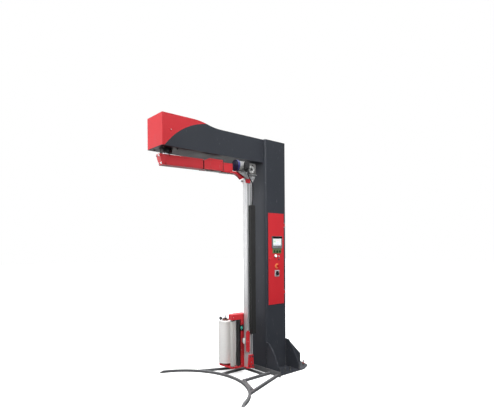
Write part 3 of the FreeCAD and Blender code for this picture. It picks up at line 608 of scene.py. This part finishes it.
# ---- boom ----
for side in (-1, 1):
    pan_screw((-1519, side * 155, 2785), (0, side, 0), 5.5)
piece("boom_cover_screws", bright_zinc, "column")

for _, x, y in around(8, 57, 22.5):
    socket_screw((AXIS_X + x, y, 2571.2), "-z", 5.2, 4.6)
for x, y in product((-1410, -1572), (-102, 102)):
    hex_bolt((x, y, 2611.2), "-z", 15)
piece("slewing_bearing_bolts", dark_screw, "column")

turned([(66, 0), (78, 0), (78, 5), (76.5, 6.5), (66, 6.5)], (AXIS_X, 0, 2604.5), "z", 64)
turned([(66.02, 0), (67.6, 0), (67.6, 1.2), (66.02, 1.2)], (AXIS_X, 0, 2590), "z", 64)
piece("slewing_bearing_flange", black_oxide, "column")

# ---- floor guard ----
GUARD_CENTRE = Vector((-1441, -105, 0))
GUARD_MIDDLE, GUARD_TUBE = 771, 28
GUARD_OUT = GUARD_MIDDLE + GUARD_TUBE / 2


def meets_bow(start, end):
    """Where a line from start to end first reaches the bow's outer face."""
    begin, run = Vector((*start, 0)), Vector((*end, 0)) - Vector((*start, 0))
    run.normalize()
    gap = begin - GUARD_CENTRE
    half_b = gap.dot(run)
    return begin + run * (-half_b - sqrt(half_b ** 2 - gap.dot(gap) + GUARD_OUT ** 2))


def arch(left, right, high):
    """A weld up one side of a tube, over its top and down the other."""
    bead([(left[0], left[1], 3), (left[0], left[1], high)], 2.2)
    bead([(left[0], left[1], high), (right[0], right[1], high)], 2.2)
    bead([(right[0], right[1], high), (right[0], right[1], 3)], 2.2)


half_tube = GUARD_TUBE / 2
for start, end in (((-150, 65), (-850, 373)), ((-212, 72), (-700, 72)), ((-150, -382), (-900, -634))):
    run = (Vector(end) - Vector(start)).normalized()
    shift = Vector((-run.y, run.x)) * half_tube
    left = meets_bow(Vector(start) + shift, Vector(end) + shift)
    right = meets_bow(Vector(start) - shift, Vector(end) - shift)
    arch(left, right, GUARD_TUBE)
for y in (72, -277):
    arch((-212.5, y - half_tube), (-212.5, y + half_tube), GUARD_TUBE)
    inner = y - half_tube if y > 0 else y + half_tube
    arch((-300 - half_tube, inner), (-300 + half_tube, inner), GUARD_TUBE)
arch((-622, -263), (-634.5, -291), GUARD_TUBE)
piece("guard_welds", weld_grey, "column")

BEVEL, WALL = 55, 2.6
for end_angle, side in ((-68, -1), (74, 1)):
    spin = Matrix.Rotation(radians(end_angle), 3, "Z")
    corners = []
    for lift in (-0.4, -2.2):
        for y, z in ((-side * 1.0, 2.6 + lift), (-side * (BEVEL - 8), GUARD_TUBE - 3.4 + lift)):
            drop = GUARD_MIDDLE - sqrt(GUARD_MIDDLE ** 2 - y ** 2)
            for across in (-half_tube + WALL, half_tube - WALL):
                corner = Vector((GUARD_MIDDLE - drop + across, y, max(z, 0.4)))
                corners.append(bm.verts.new(GUARD_CENTRE + spin @ corner))
    a, b, c, d, e, f, g, h = corners
    for face in ((a, b, d, c), (e, g, h, f), (a, e, f, b), (c, d, h, g), (a, c, g, e), (b, f, h, d)):
        bm.faces.new(face)
piece("guard_end_caps", guard_coat, "column")

# ---- cabinet behind the door ----
for z0, z1 in ((1250, 1288), (1410, 1448), (1540, 1578), (1720, 1758)):
    block((-150, 12, z0), (150, 58, z1), 1.2)
    for k in range(24):
        for face_z in (z0 - 0.3, z1 - 7.7):
            x = -144 + k * 12.4
            block((x, 10.8, face_z), (x + 5, 40, face_z + 8), 0.5, 1)
piece("wiring_ducts", plastic("duct_grey", (0.34, 0.36, 0.38), 0.5, lift=1.1), "column")

for k in range(9):
    x = -109 + 24 * k
    block((x - 7, -22, 1338), (x + 7, -14.5, 1356), 1.5)
    block((x - 4, -29, 1345), (x + 4, -20, 1352), 1.5)
for k in range(3):
    x = 35 + 28 * k
    block((x - 10, -28.5, 1630), (x + 10, -24.5, 1652), 1.5)
piece("breaker_toggles", black_plastic, "column")

for k in range(12):
    block((-112, -71.5, 1014 + 18 * k), (12, -69.5, 1024 + 18 * k), 0.8)
block((-95, -78, 1190), (-5, -69.5, 1228), 2)
block((-118, -26.5, 1598), (8, -24.5, 1684), 1.5)
for k in range(10):
    turned([(0, 0), (3.2, 0), (3.2, 2), (1.2, 2.6), (0, 1.6)], (-110 + 12 * k, -26, 1604), "-y", 16)
piece("device_fronts", plastic("device_dark", (0.05, 0.055, 0.065), 0.4), "column")

for k in range(9):
    x = -109 + 24 * k
    lean = 3 * sin(2.1 * k)
    wire([(x, -8, 1389), (x + lean, -9, 1400), (x + lean, 8, 1411), (x, 22, 1414)], 1.5)
    wire([(x, -8, 1306), (x - lean, -9, 1298), (x - lean, 8, 1290), (x, 22, 1284)], 1.5)
for k in range(8):
    x = -108 + 14 * k
    wire([(x, -18, 1690), (x + 2, -18, 1704), (x + 1, 4, 1718), (x, 22, 1724)], 1.2)
    wire([(x, -18, 1593), (x - 2, -17, 1583), (x, 4, 1577), (x, 22, 1574)], 1.2)
piece("cabinet_wires", plastic("wire_blue", (0.03, 0.07, 0.30), 0.45), "column")

# ---- control door ----
FACE = -199
BUTTON_XS, BUTTON_Z = (-34, 15, 64), 1502
RESET_X, RESET_Z = -16, 1444
STOP_X, STOP_Z = 8, 1318
SWITCH_X, SWITCH_Z = 8.5, 1226
KEY_X, KEY_Z, LAMP_Z = 45, 1440, 1400
LOCK_X, LOCK_Z = -118, 1410


def frame_bar(outer, inner, y0, y1, bevel):
    """A flat rectangular frame between y0 and y1; outer and inner are (x0, x1, z0, z1)."""
    rings = []
    for (x0, x1, z0, z1), y, inset in ((outer, y1, 0), (outer, y0 + bevel, 0), (outer, y0, bevel),
                                       (inner, y0, -bevel), (inner, y0 + bevel, 0), (inner, y1, 0)):
        rings.append([bm.verts.new(p) for p in ((x0 + inset, y, z0 + inset), (x1 - inset, y, z0 + inset),
                                                (x1 - inset, y, z1 - inset), (x0 + inset, y, z1 - inset))])
    skin(rings, loop=True)


frame_bar((-82, 102, 1542.5, 1694.5), (-69.5, 89.5, 1574, 1669), -209.2, -206.8, 1.4)
piece("screen_front_frame", plastic("bezel_front", (0.20, 0.205, 0.21), 0.38), "control_door")
block((-80, -210.2, 1671.5), (100, -208.6, 1692.5), 0.7)
piece("screen_top_band", gloss_black, "control_door")
frame_bar((-69.3, 89.3, 1574.2, 1668.8), (-66, 86, 1577.5, 1665.5), -208.6, -206.2, 0.5)
piece("screen_inner_edge", gloss_black, "control_door")
for k in range(4):
    block((-60 + 20 * k, -209.9, 1552), (-47 + 20 * k, -208.9, 1561), 0.5)
turned([(0, 0), (2.6, 0), (2.6, 0.8), (1.8, 1.4), (0, 1.6)], (84, -209, 1556), "-y", 20)
piece("screen_keys", plastic("key_grey", (0.40, 0.42, 0.44), 0.4, lift=1.1), "control_door")

for k, x in enumerate(BUTTON_XS, 1):
    turned([(0, 36), (7.8, 36), (7.8, -5.5), (9.6, -6), (10.8, -7.2), (10.8, -10.8), (9.6, -12.4), (7.0, -12.9),
           (4.5, -12.2), (0, -11.8)], (x, FACE, BUTTON_Z), "y", 36)
    cap = piece("start_button_%d" % k, green_plastic, "green_button_%d" % k)
    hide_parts("green_button_%d" % k)
for x in BUTTON_XS:
    turned([(11.3, -1.5), (15.5, -1.5), (15.5, -4), (14.2, -5.6), (12.2, -5.8), (11.3, -4.5)],
           (x, FACE, BUTTON_Z), "y", 40)
piece("start_button_rings", gloss_black, "control_door")

glow = Mat("lit_button_cap", (0.88, 0.88, 0.87), 0.25)
glow_cloud = glow.noise(120, 3)
glow.tint(glow_cloud, (0.80, 0.79, 0.76), 0.12)
glow.add_rough(0.1, glow_cloud)
glow.bump(glow.noise(300, 2), 0.08, 0.0003)
glow.put({"Emission Color": (1.0, 0.97, 0.94, 1), "Emission Strength": 0.35})
lit_white = glow.done(0.0008)
turned([(0, 30), (11, 30), (11, -7.5), (14.5, -8), (16.8, -9.5), (16.8, -12.4), (15.2, -14.3), (12, -15),
       (0, -15)], (RESET_X, FACE, RESET_Z), "y", 40)
cap = piece("reset_button_cap", lit_white, "white_button")
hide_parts("white_button")
turned([(17.4, -3), (22.5, -3), (22.5, -5.5), (20.5, -8.2), (18.2, -8.2), (17.4, -7)], (RESET_X, FACE, RESET_Z),
       "y", 44)
piece("button_trim_rings", polished, "control_door")

head = [(0, 32), (10.9, 32), (10.9, -14), (16, -14.2), (19.2, -16.5), (19.9, -20), (19.6, -24.5), (18.2, -27.8),
        (15.5, -29.3), (11, -29.9), (6, -29.9), (0, -29.7)]
turned(head, (STOP_X, FACE, STOP_Z), "y", 48)
for a, dx, dz in around(3, 12.5, 90):
    x, z = STOP_X + dx, STOP_Z + dz
    block((x - 3.4, -229, z - 0.9), (x + 3.4, -228.2, z + 0.9), 0.3, 1, ("y", 90 - a))
knob = piece("stop_button_head", safety_red, "estop_button")
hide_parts("estop_button")
turned([(11.5, -4.0), (24, -4.0), (24, -6.5), (22.2, -8.2), (21.0, -8.6), (11.5, -8.6)], (STOP_X, FACE, STOP_Z),
       "y", 48)
piece("stop_button_base", safety_orange, "control_door")

turned([(28, -6), (35.5, -6), (35.5, -7.8), (34, -9.4), (29, -9.4), (28, -8.6)], (SWITCH_X, FACE, SWITCH_Z),
       "y", 56)
for a, dx, dz in around(8, 32.2):
    x, z = SWITCH_X + dx, SWITCH_Z + dz
    block((x - 2.2, -209, z - 0.7), (x + 2.2, -208.1, z + 0.7), 0.2, 1, ("y", -a))
piece("main_switch_ring", grey_plastic, "control_door")
for dx, dz in product((-33.5, 33.5), (-34, 34)):
    pan_screw((SWITCH_X + dx, -205, SWITCH_Z + dz), "-y", 3.4)
piece("main_switch_screws", bright_zinc, "control_door")
block((7, -229.6, SWITCH_Z + 8), (10, -228.8, SWITCH_Z + 23), 0.5)
piece("main_switch_pointer", white_plastic, "main_switch_knob")

turned([(5.5, 0), (11, 0), (11, -3.2), (9.5, -4.6), (6.2, -4.6), (5.5, -3.6)], (KEY_X, FACE, KEY_Z), "y", 36)
turned([(0, 0), (5.3, 0), (5.3, -3.0), (2.6, -3.0, (1.0, 0.28)), (2.4, -1.4, (1.0, 0.28)), (0, -1.4)],
       (KEY_X, FACE, KEY_Z), "y", 36)
piece("key_switch", bright_zinc, "control_door")
turned([(0, 0), (10.5, 0), (10.5, -3.5), (9.2, -5.2), (8.0, -5.4), (7.6, -8.8), (5.6, -10.6), (0, -11.4)],
       (KEY_X, FACE, LAMP_Z), "y", 36)
piece("signal_lamp", plastic("lamp_smoked", (0.10, 0.10, 0.11), 0.2, 700, 0.06), "control_door")

turned([(12.4, 0), (17.5, 0), (17.5, -1.6), (16, -2.6), (12.4, -2.6)], (LOCK_X, FACE, LOCK_Z), "y", 40)
piece("lock_escutcheon", red_coat, "control_door")
turned([(0, 0), (8.2, 0), (8.2, -1.2), (7.4, -1.8), (4.6, -1.8, (1.0, 0.30)), (4.2, -0.5, (1.0, 0.30)),
       (0, -0.5)], (LOCK_X, -203.2, LOCK_Z), "y", 36)
piece("lock_insert", red_coat, "door_lock")

frame_bar((-133.2, 132.2, 842.8, 1977.2), (-131, 130, 845, 1975), -195.2, -190.5, 0.8)
piece("door_seal", seal_rubber, "control_door")
for z in (968, 992, 1828, 1852):
    pan_screw((136.5, -199.2, z), "-y", 3.0)
for z in (951, 1004, 1811, 1864):
    pan_screw((159, -203.1, z + 1.5), "-y", 2.4)
piece("hinge_screws", dark_screw, "column")

# ---- rotating arm ----
for side in (-1, 1):
    for s0, s1, t0, t1, z0, z1 in ((-34, 428, 44.6, 46.4, 2446, 2542), (520, 682, 56.6, 58.0, 2448, 2556),
                                   (704, 822, 44.6, 46.0, 2441, 2531)):
        low, high = sorted((side * t0, side * t1))
        block((s0, low, z0), (s1, high, z1), 0.8)
arm_piece("arm_side_panels", red_coat)

for side in (-1, 1):
    for along, up, t, radius in (((-22, 200, 416), (2456, 2532), 46.5, 3.6), ((532, 670), (2458, 2546), 58.1, 3.4),
                                 ((716, 810), (2450, 2522), 46.1, 3.4)):
        for s, z in product(along, up):
            pan_screw((s, side * t, z), (0, side, 0), radius)
arm_piece("arm_panel_screws", dark_screw)

outwards = Vector((-112, 0, -36)).normalized()
for z in (2534, 2456):
    s = -98 + (2550 - z) * 36 / 112
    for t in (-31, 31):
        hex_bolt((s - 0.3, t, z), outwards, 13)
arm_piece("arm_end_bolts", polished)

block((434.5, -58.6, 2436.6), (440.5, 58.6, 2538), 0.8)
block((689, -58.6, 2436.6), (694, 58.6, 2566), 0.8)
arm_piece("arm_joint_seams", plastic("seam_dark", (0.030, 0.006, 0.008), 0.6))

block((486, -20, 2430), (686, 20, 2438), 2.5, 3)
block((700, -20, 2424), (812, 20, 2432), 2.5, 3)
arm_piece("arm_lower_rails", white_plastic)

for _, s, t in around(10, 37):
    socket_screw((s, t, 2566.1), "z", 3.2, 3.0)
arm_piece("hub_screws", dark_screw)

for s, z in ((1012, 2408), (1030, 2366), (1075, 2408), (1120, 2408), (1066, 2360), (1102, 2352)):
    hex_bolt((s, 48.1, z), "y", 13)
for s, z in ((1120, 2404), (1112, 2360)):
    hex_bolt((s, -48.1, z), "-y", 13)
for s, t in product((1130, 1152), (-60, 34)):
    hex_bolt((s, t, 2436.1), "z", 10, height=5)
arm_piece("mast_head_bolts", bright_zinc)

for side, t in ((-1, -56.1), (1, 50.1)):
    for s, z in ((1050, 124), (1098, 124), (1062, 234), (1098, 234)):
        hex_bolt((s, t, z), (0, side, 0), 11)
for s, z in ((1025, 2384), (1073, 2384), (1025, 2341), (1073, 2341)):
    socket_screw((s, -54.1, z), "-y", 4.6, 4)
    socket_screw((s + 28, 54.1, z), "y", 4.6, 4)
arm_piece("mast_clamp_bolts", dark_screw)

# Thin dark grey strips along the mast's slots: painted shade of the slot hollows.
for s, low in ((1058, -39.2), (1096, -39.2), (1092, 38.4)):
    block((s - 3.7, low, 262), (s + 3.7, low + 0.8, 2320), 0.3, 1)
for t in (-30, -12, 12, 30):
    block((1039.2, t - 1.2, 262), (1040.6, t + 1.2, 2366), 0.4, 1)
    block((1113.4, t - 1.2, 262), (1114.8, t + 1.2, 2420), 0.4, 1)
arm_piece("mast_groove_shade_strips", plastic("groove_shade_grey", (0.16, 0.165, 0.17), 0.5))

block((1063.5, -86.0, 517), (1130.5, -83.4, 2061), 1.0)
for z in (640, 1000, 1360, 1720, 2000):
    block((1062.6, -86.8, z), (1131.4, -41, z + 16), 1.6)
arm_piece("duct_cover_and_clips", duct_black)
turned([(9.2, -8), (27, -8, (1.0, 0.68)), (27, -4, (1.0, 0.68)), (14, -3.4), (13.4, 2), (11, 4), (7.6, 4),
       (7.6, -6)], (1099, -61.5, 2062.5), "z", 56)
arm_piece("duct_grommet", seal_rubber)

# ---- lift drive ----
MOTOR_T, MOTOR_Z = -37, 2525
SHAFT_S, SHAFT_Z = 1080, 2487
LEAD_S, LEAD_T = 1000, -113
turned([(0, 2.6), (61, 2.6), (61, 0.6), (58.5, 0), (0, 0)], (866.6, MOTOR_T, MOTOR_Z), "x", 64)
for r in (14, 24, 34, 44, 54):
    turned([(r - 1.6, -0.2), (r - 0.8, -1.6), (r + 0.8, -1.6), (r + 1.6, -0.2), (r + 1.6, 0.6), (r - 1.6, 0.6)],
           (866.9, MOTOR_T, MOTOR_Z), "x", 48)
for a, t, z in around(6, 33):
    block((865.4, MOTOR_T + t - 26, MOTOR_Z + z - 1.3), (867.4, MOTOR_T + t + 26, MOTOR_Z + z + 1.3), 0.5, 1,
          ("x", a))
arm_piece("fan_grille", plastic("grille_navy", (0.014, 0.014, 0.055), 0.42))
for _, t, z in around(4, 66.1, 45):
    pan_screw((893, MOTOR_T + t, MOTOR_Z + z), (0, t, z), 3.6)
arm_piece("fan_cover_screws", bright_zinc)
turned([(65.2, 0), (66.9, 0.6), (66.9, 4.4), (65.2, 5)], (877, MOTOR_T, MOTOR_Z), "x", 72)
turned([(65.2, 0), (66.9, 0.6), (66.9, 3.0), (65.2, 3.6)], (898.5, MOTOR_T, MOTOR_Z), "x", 72)
arm_piece("fan_cover_beads", motor_blue)
turned([(61.2, 0.4), (62.4, -1.4), (65.6, -1.4), (66.6, -0.4), (66.6, 4.6), (65.2, 5.4), (65.2, 0.4)],
       (868, MOTOR_T, MOTOR_Z), "x", 72)
arm_piece("fan_cover_rim", gloss_black)

core = [(0, 901.5), (50, 901.5), (53, 904), (53.6, 1008), (58.6, 1010.5), (58.6, 1018.9), (0, 1018.9)]
turned(core, (0, MOTOR_T, MOTOR_Z), "x", 72)
for a, dt, dz in around(24, 55.6, 7.5):
    t, z = MOTOR_T + dt, MOTOR_Z + dz
    block((905.5, t - 3.2, z - 1.2), (1011, t + 3.2, z + 1.2), 0.7, 2, ("x", a))
for a, dt, dz in around(4, 53, 45):
    t, z = MOTOR_T + dt, MOTOR_Z + dz
    block((1002, t - 6, z - 6), (1018, t + 6, z + 6), 2, 2, ("x", a))
body = arm_piece("lift_motor_body", cast_metal("cast_aluminium", (0.66, 0.66, 0.65), 0.45, 0.5))
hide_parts("lift_motor")
block((954, -131.6, 2486), (1012, -95, 2563), 6, 4)
block((962, -96, 2505), (1002, -87.5, 2545), 1.5)
arm_piece("terminal_box", motor_black)

block((951.5, -135.5, 2483.5), (1014.5, -131.5, 2565.5), 2.2, 3)
block((959, -137.4, 2491), (1007, -135, 2558), 1.6, 2)
arm_piece("terminal_box_lid", motor_black)
for s, z in product((956.5, 1009.5), (2488.5, 2560.5)):
    pan_screw((s, -135.6, z), "-y", 2.6)
arm_piece("terminal_box_screws", dark_screw)
turned([(11.2, 0), (13.2, 0.4, 6), (14.2, 1.2, 6), (14.2, 7, 6), (13.2, 8), (11.2, 8)], (LEAD_S, LEAD_T, 2477),
       "z", 36)
turned([(7.3, 0), (9.0, 0), (11.4, 2.5), (13.0, 6, 10), (13.0, 12, 10), (7.3, 12)], (LEAD_S, LEAD_T, 2464.5),
       "z", 40)
sleeve = [(7.15, -30), (8.0, -30)]
for k in range(7):
    sleeve += [(8.2 + 0.25 * k, -28.6 + 4 * k), (7.9 + 0.25 * k, -26.8 + 4 * k)]
sleeve += [(9.9, 0), (7.15, 0)]
turned(sleeve, (LEAD_S, LEAD_T, 2466), "z", 32)
arm_piece("lift_cable_gland", black_plastic)

turned([(20, -78), (42.2, -78), (43.2, -79.5), (43.2, -83.4), (41.6, -85), (29, -85), (27.5, -83.6),
       (23, -83.6), (21.5, -82), (20, -82)], (SHAFT_S, 0, SHAFT_Z), "y", 64)
arm_piece("gearbox_output_ring", brushed("machined_ring", (0.55, 0.55, 0.54), 0.35, (1, 0.05, 1), 0.6))
for z in (2452, 2522):
    block((1040, -74.6, z - 3), (1146, -71, z + 3), 1.4)
for k in range(5):
    block((1124 + 4.6 * k, -75.4, 2464), (1126.2 + 4.6 * k, -71, 2510), 0.8)
arm_piece("gearbox_ribs", cast_grey)
for _, s, z in around(6, 35.5, 30):
    socket_screw((SHAFT_S + s, -84.9, SHAFT_Z + z), "-y", 3.2, 2.4)
for s, z in ((1042, 2444), (1144, 2444), (1042, 2558), (1144, 2558)):
    socket_screw((s, -72.1, z), "-y", 4.6, 4.4)
for _, t, z in around(4, 50, 45):
    hex_bolt((1018.9, MOTOR_T + t, MOTOR_Z + z), "-x", 9)
arm_piece("gearbox_bolts", dark_screw)
hex_bolt((1104, -72.1, 2548), "-y", 13, height=4)
arm_piece("gearbox_oil_plug", dark_screw)
turned([(12.3, -79.8), (19.9, -79.8), (19.9, -81.2), (17.5, -82), (14, -81), (12.3, -81)],
       (SHAFT_S, 0, SHAFT_Z), "y", 48)
arm_piece("output_shaft_seal", seal_rubber)
turned([(0, 3.5), (11.4, 3.5), (11.4, -2.0), (10.2, -2.8), (7, -2.8), (6, -0.6), (0, -0.2)],
       (SHAFT_S, -80.5, SHAFT_Z), "y", 36)
arm_piece("drive_shaft_cap", gloss_black, "drive_pulley")

# ---- film carriage ----
ROLL_S, ROLL_T = 923, 274
IDLER_A, IDLER_B = (905, 95), (948, 112)
PRESTRETCH_1, PRESTRETCH_2 = (990, 95), (1028.89, 133.89)
for s, z in ((1016, 300), (1053, 300), (1016, 543), (1053, 543), (1034.5, 421)):
    socket_screw((s, -51.1, z), "-y", 4.4, 3.6)
for s, t in ((892, 72), (1090, 72), (1090, 158), (992, 158), (884, 118)):
    pan_screw((s, t, 741.1), "z", 4.2)
for s, z in ((900, 708), (1088, 692), (1088, 726)):
    pan_screw((s, 56.9, z), "-y", 4.0)
for s, z in ((1090, 130), (1090, 300), (1090, 480), (1090, 640), (1018, 130), (1018, 300), (1018, 640)):
    pan_screw((s, 56.9, z), "-y", 3.6)
arm_piece("carriage_screws", bright_zinc, "carriage")

for s, t in (IDLER_A, IDLER_B, PRESTRETCH_1, PRESTRETCH_2):
    turned([(8.4, 0), (14.5, 0), (14.5, -2), (12.5, -4.5), (9.4, -4.5), (8.4, -3.5)], (s, t, 86), "z", 36)
    turned([(8.5, 0), (13, 0), (13, -4), (11.5, -6), (9, -6), (8.5, -5)], (s, t, 675.8), "z", 36)
arm_piece("roller_bearing_cups", dark_screw, "carriage")

turned([(0, 0), (39, 0), (39, 3.4), (36, 5.5), (13, 5.5), (12, 3), (0, 3)], (ROLL_S, ROLL_T, 100), "z", 56)
for _, s, t in around(4, 29, 45):
    socket_screw((ROLL_S + s, ROLL_T + t, 105.2), "z", 3.4, 3.0)
arm_piece("spindle_foot", bright_zinc, "carriage")

pad = [(-15, 399), (-12, 390), (-4, 385), (6, 383), (16, 385), (24, 390), (28, 400),
       (28, 440), (24, 450), (16, 455), (6, 457), (-4, 455), (-12, 450), (-15, 441)]
mid_t, mid_z = 6.5, 420
rings = []
for s, shrink in ((1021, 1.0), (1014.8, 1.0), (1013.2, 0.90), (1012.6, 0.70)):
    tall = 1 - (1 - shrink) * 0.6
    rings.append([bm.verts.new((s, mid_t + (t - mid_t) * shrink, mid_z + (z - mid_z) * tall)) for t, z in pad])
skin(rings)
arm_piece("belt_cover_pad", white_plastic, "carriage")

block((988, 41, 540), (1036, 57.5, 612), 3, 3)
block((992, 38.5, 596), (1008, 42, 609), 1, 2)
turned([(0, 0), (7.5, 0), (7.5, 3), (6.5, 4.4), (0, 4.4)], (1036, 49, 552), "x", 28)
arm_piece("tension_switch_body", gloss_black, "carriage")
profile = [(0, 2), (13.0, 2), (13.0, -1), (14.0, -2.5, 12), (14.0, -13, 12), (12.2, -15.5, 12),
           (8.0, -16.2), (0, -16.2)]
turned(profile, (1001, 40, 577), "y", 48)
block((999.6, 21.9, 577), (1002.4, 24.0, 589), 0.5, 1)
turned([(0, 1), (5.5, 1), (5.5, -3), (4.4, -4.8), (0, -5)], (1001, 40.5, 554), "y", 24)
arm_piece("tension_knob", teal_plastic, "carriage")

# The wound film: layers that don't quite line up at the ends, and an outer face that isn't quite even.
layers = 22
inner_r, outer_r = 41.3, 89.6
top, base = [], []
for k in range(layers + 1):
    r = inner_r + (outer_r - inner_r) * k / layers
    top.append((r, 643.4 - random.uniform(0.0, 2.2)))
    base.append((r, 120.6 + random.uniform(0.0, 2.2)))
side = []
for k in range(1, 60):
    z = 121 + 522 * k / 60
    side.append((outer_r - 0.35 + random.uniform(-0.35, 0.35), z))
turned(base + side + top[::-1] + [(inner_r, 640), (inner_r, 124)], (ROLL_S, ROLL_T, 0), "z", 96)
for vert in bm.verts:
    offset = Vector((vert.co.x - ROLL_S, vert.co.y - ROLL_T))
    if offset.length > 60:
        a = atan2(offset.y, offset.x)
        slow, quick = (0.5 + 0.5 * sin(x) for x in (a * 3 + vert.co.z * 0.021, a * 2 - vert.co.z * 0.047))
        scale = 1 - 0.003 * slow - 0.002 * quick
        vert.co.x, vert.co.y = ROLL_S + offset.x * scale, ROLL_T + offset.y * scale
# The film's warm base colour and the beige-pink tint laid over its bands are painted reflection of the red parts
# nearby; the uneven tone of the bands is the film's own.
film = Mat("stretch_film_roll", (0.92, 0.895, 0.875), 0.22)
turns = film.noise(260, 3, place=film.stretch((1, 1, 0.02)), low=0.3, high=0.7)
bands = film.noise(26, 4, place=film.stretch((0.25, 0.25, 1.6)), low=0.35, high=0.75)
film.tint(bands, (0.84, 0.79, 0.76), 0.30)
film.tint(turns, (0.95, 0.95, 0.95), 0.12)
film.add_rough(0.16, bands)
film.add_rough(0.10, turns)
film.bump(bands, 0.20, 0.0012)
film.bump(turns, 0.10, 0.0004)
film.put({"Subsurface Weight": 0.35, "Subsurface Radius": (0.012, 0.012, 0.012), "Subsurface Scale": 1.0,
          "Coat Weight": 0.5, "Coat Roughness": 0.10})
wound = arm_piece("wound_film", film.done(0), "film_roll", smooth=30)
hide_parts("film_roll")

turned([(38.2, 0), (41.2, 0), (41.2, 1.2), (40.2, 1.9), (39.2, 1.9), (38.2, 1.2)], (ROLL_S, ROLL_T, 650.8), "z",
       72)
arm_piece("core_rim", plastic("cardboard", (0.30, 0.20, 0.12), 0.75, 300, 0.3), "film_roll")

for body, place, radius in (("idler_roller_a", IDLER_A, 25), ("idler_roller_b", IDLER_B, 18)):
    for z, side in ((108, 1), (664, -1)):
        turned([(8.2, -1.6 * side), (radius - 3, -1.6 * side), (radius + 0.3, -0.4 * side),
               (radius + 0.3, 4.5 * side), (radius - 0.6, 5.5 * side), (8.2, 3 * side)], (*place, z), "z", 48)
    arm_piece(body + "_ends", black_plastic, body)

for k, place in ((1, PRESTRETCH_1), (2, PRESTRETCH_2)):
    profile = [(24.6, 109)]
    z = 110.0
    while z < 661:
        profile += [(25.7, z), (25.7, z + 6.4), (25.1, z + 6.9), (25.1, z + 7.6)]
        z += 8.1
    profile += [(25.7, 661.5), (24.6, 662.6)]
    turned(profile, (*place, 0), "z", 48)
    arm_piece("prestretch_cover_%d" % k, grooved_rubber, "prestretch_roller_%d" % k)

turned([(10.6, 0), (16.6, 0), (17.2, 1.2, 12), (17.2, 9.4, 12), (16.2, 10.8), (10.6, 10.8)],
       (ROLL_S, ROLL_T, 664.5), "z", 48)
arm_piece("lever_collar", gloss_black, "spindle_lever")


# ---- camera, light, floor ----
def look_camera():
    data = bpy.data.cameras.new("camera")
    cam = add_object("camera", data)
    heading, pitch, roll = 0.6813, -0.008, -0.0072
    turn = (Matrix.Rotation(-heading, 4, "Z") @ Matrix.Rotation(pi / 2 + pitch, 4, "X")
            @ Matrix.Rotation(roll, 4, "Z"))
    cam.matrix_world = Matrix.Translation((-3.7271, -3.7001, 1.5449)) @ turn
    data.sensor_width = 36
    data.lens = 29.05
    data.shift_x = 0.0506
    data.shift_y = 0.0844
    bpy.context.scene.camera = cam


def area_light(name, place, target, size, power, spread=180):
    data = bpy.data.lights.new(name, "AREA")
    data.shape = "RECTANGLE"
    data.size, data.size_y = size
    data.energy = power
    data.spread = radians(spread)
    lamp = add_object(name, data)
    lamp.location = place
    lamp.rotation_euler = (Vector(target) - Vector(place)).to_track_quat("-Z", "Y").to_euler()
    lamp.visible_camera = False


look_camera()
# name, place, what it points at, size, power, spread
area_light("key", (-5.2, -3.6, 4.9), (-1.3, 0, 2.8), (2.6, 2.2), 29, 74)
area_light("left", (-5.6, 1.4, 3.2), (-0.5, 0, 2.4), (2.2, 3.2), 26, 80)
area_light("front", (-0.9, -5.4, 3.0), (0.15, -0.2, 1.5), (2.0, 2.0), 12, 50)
area_light("top", (-0.9, 0.0, 5.8), (-0.9, 0, 0.0), (2.4, 2.4), 290)
area_light("under", (1.1, 3.2, 0.9), (-1.1, 0.0, 2.62), (2.4, 1.2), 2.4, 60)
area_light("rim", (-3.4, 4.4, 1.8), (-0.4, 0, 1.4), (2.4, 3.2), 60)
area_light("back", (3.4, 4.2, 4.2), (-0.4, 0, 1.6), (4.0, 3.0), 90)

# The surroundings brighten from the horizon up, so they show in the metal; the camera itself sees plain white.
WORLD_LIFT = {"From Min": 0.18, "From Max": 0.42, "To Min": 0.05, "To Max": 0.95}
world = bpy.data.worlds.new("world")
world.use_nodes = True
tree = world.node_tree
surround = tree.nodes["Background"]
surround.inputs[0].default_value = (0.95, 0.98, 1.0, 1)
coords = tree.nodes.new("ShaderNodeTexCoord")
split = tree.nodes.new("ShaderNodeSeparateXYZ")
dome = tree.nodes.new("ShaderNodeMapRange")
for socket, amount in WORLD_LIFT.items():
    dome.inputs[socket].default_value = amount
tree.links.new(coords.outputs["Generated"], split.inputs[0])
tree.links.new(split.outputs[2], dome.inputs["Value"])
tree.links.new(dome.outputs[0], surround.inputs[1])
backdrop = tree.nodes.new("ShaderNodeBackground")
backdrop.inputs[0].default_value = (1, 1, 1, 1)
backdrop.inputs[1].default_value = 1.0
rays = tree.nodes.new("ShaderNodeLightPath")
blend = tree.nodes.new("ShaderNodeMixShader")
tree.links.new(rays.outputs["Is Camera Ray"], blend.inputs[0])
tree.links.new(surround.outputs[0], blend.inputs[1])
tree.links.new(backdrop.outputs[0], blend.inputs[2])
tree.links.new(blend.outputs[0], tree.nodes["World Output"].inputs[0])
bpy.context.scene.world = world
bpy.context.scene.view_settings.view_transform = "Standard"

HALF = 40
floor_mesh = bpy.data.meshes.new("floor")
corners = [(-HALF, -HALF, 0), (HALF, -HALF, 0), (HALF, HALF, 0), (-HALF, HALF, 0)]
floor_mesh.from_pydata(corners, [], [(0, 1, 2, 3)])
floor = add_object("floor", floor_mesh)
floor_mat = Mat("floor", (0.80, 0.80, 0.80), 0.8, specular=0.1)
floor_mat.tint(floor_mat.noise(1.5, 3), (0.76, 0.76, 0.76), 0.05)
floor_mat.put({"Emission Color": (1, 1, 1, 1), "Emission Strength": 0.62})
floor.data.materials.append(floor_mat.done(0))
floor.visible_diffuse = False
floor.visible_glossy = False
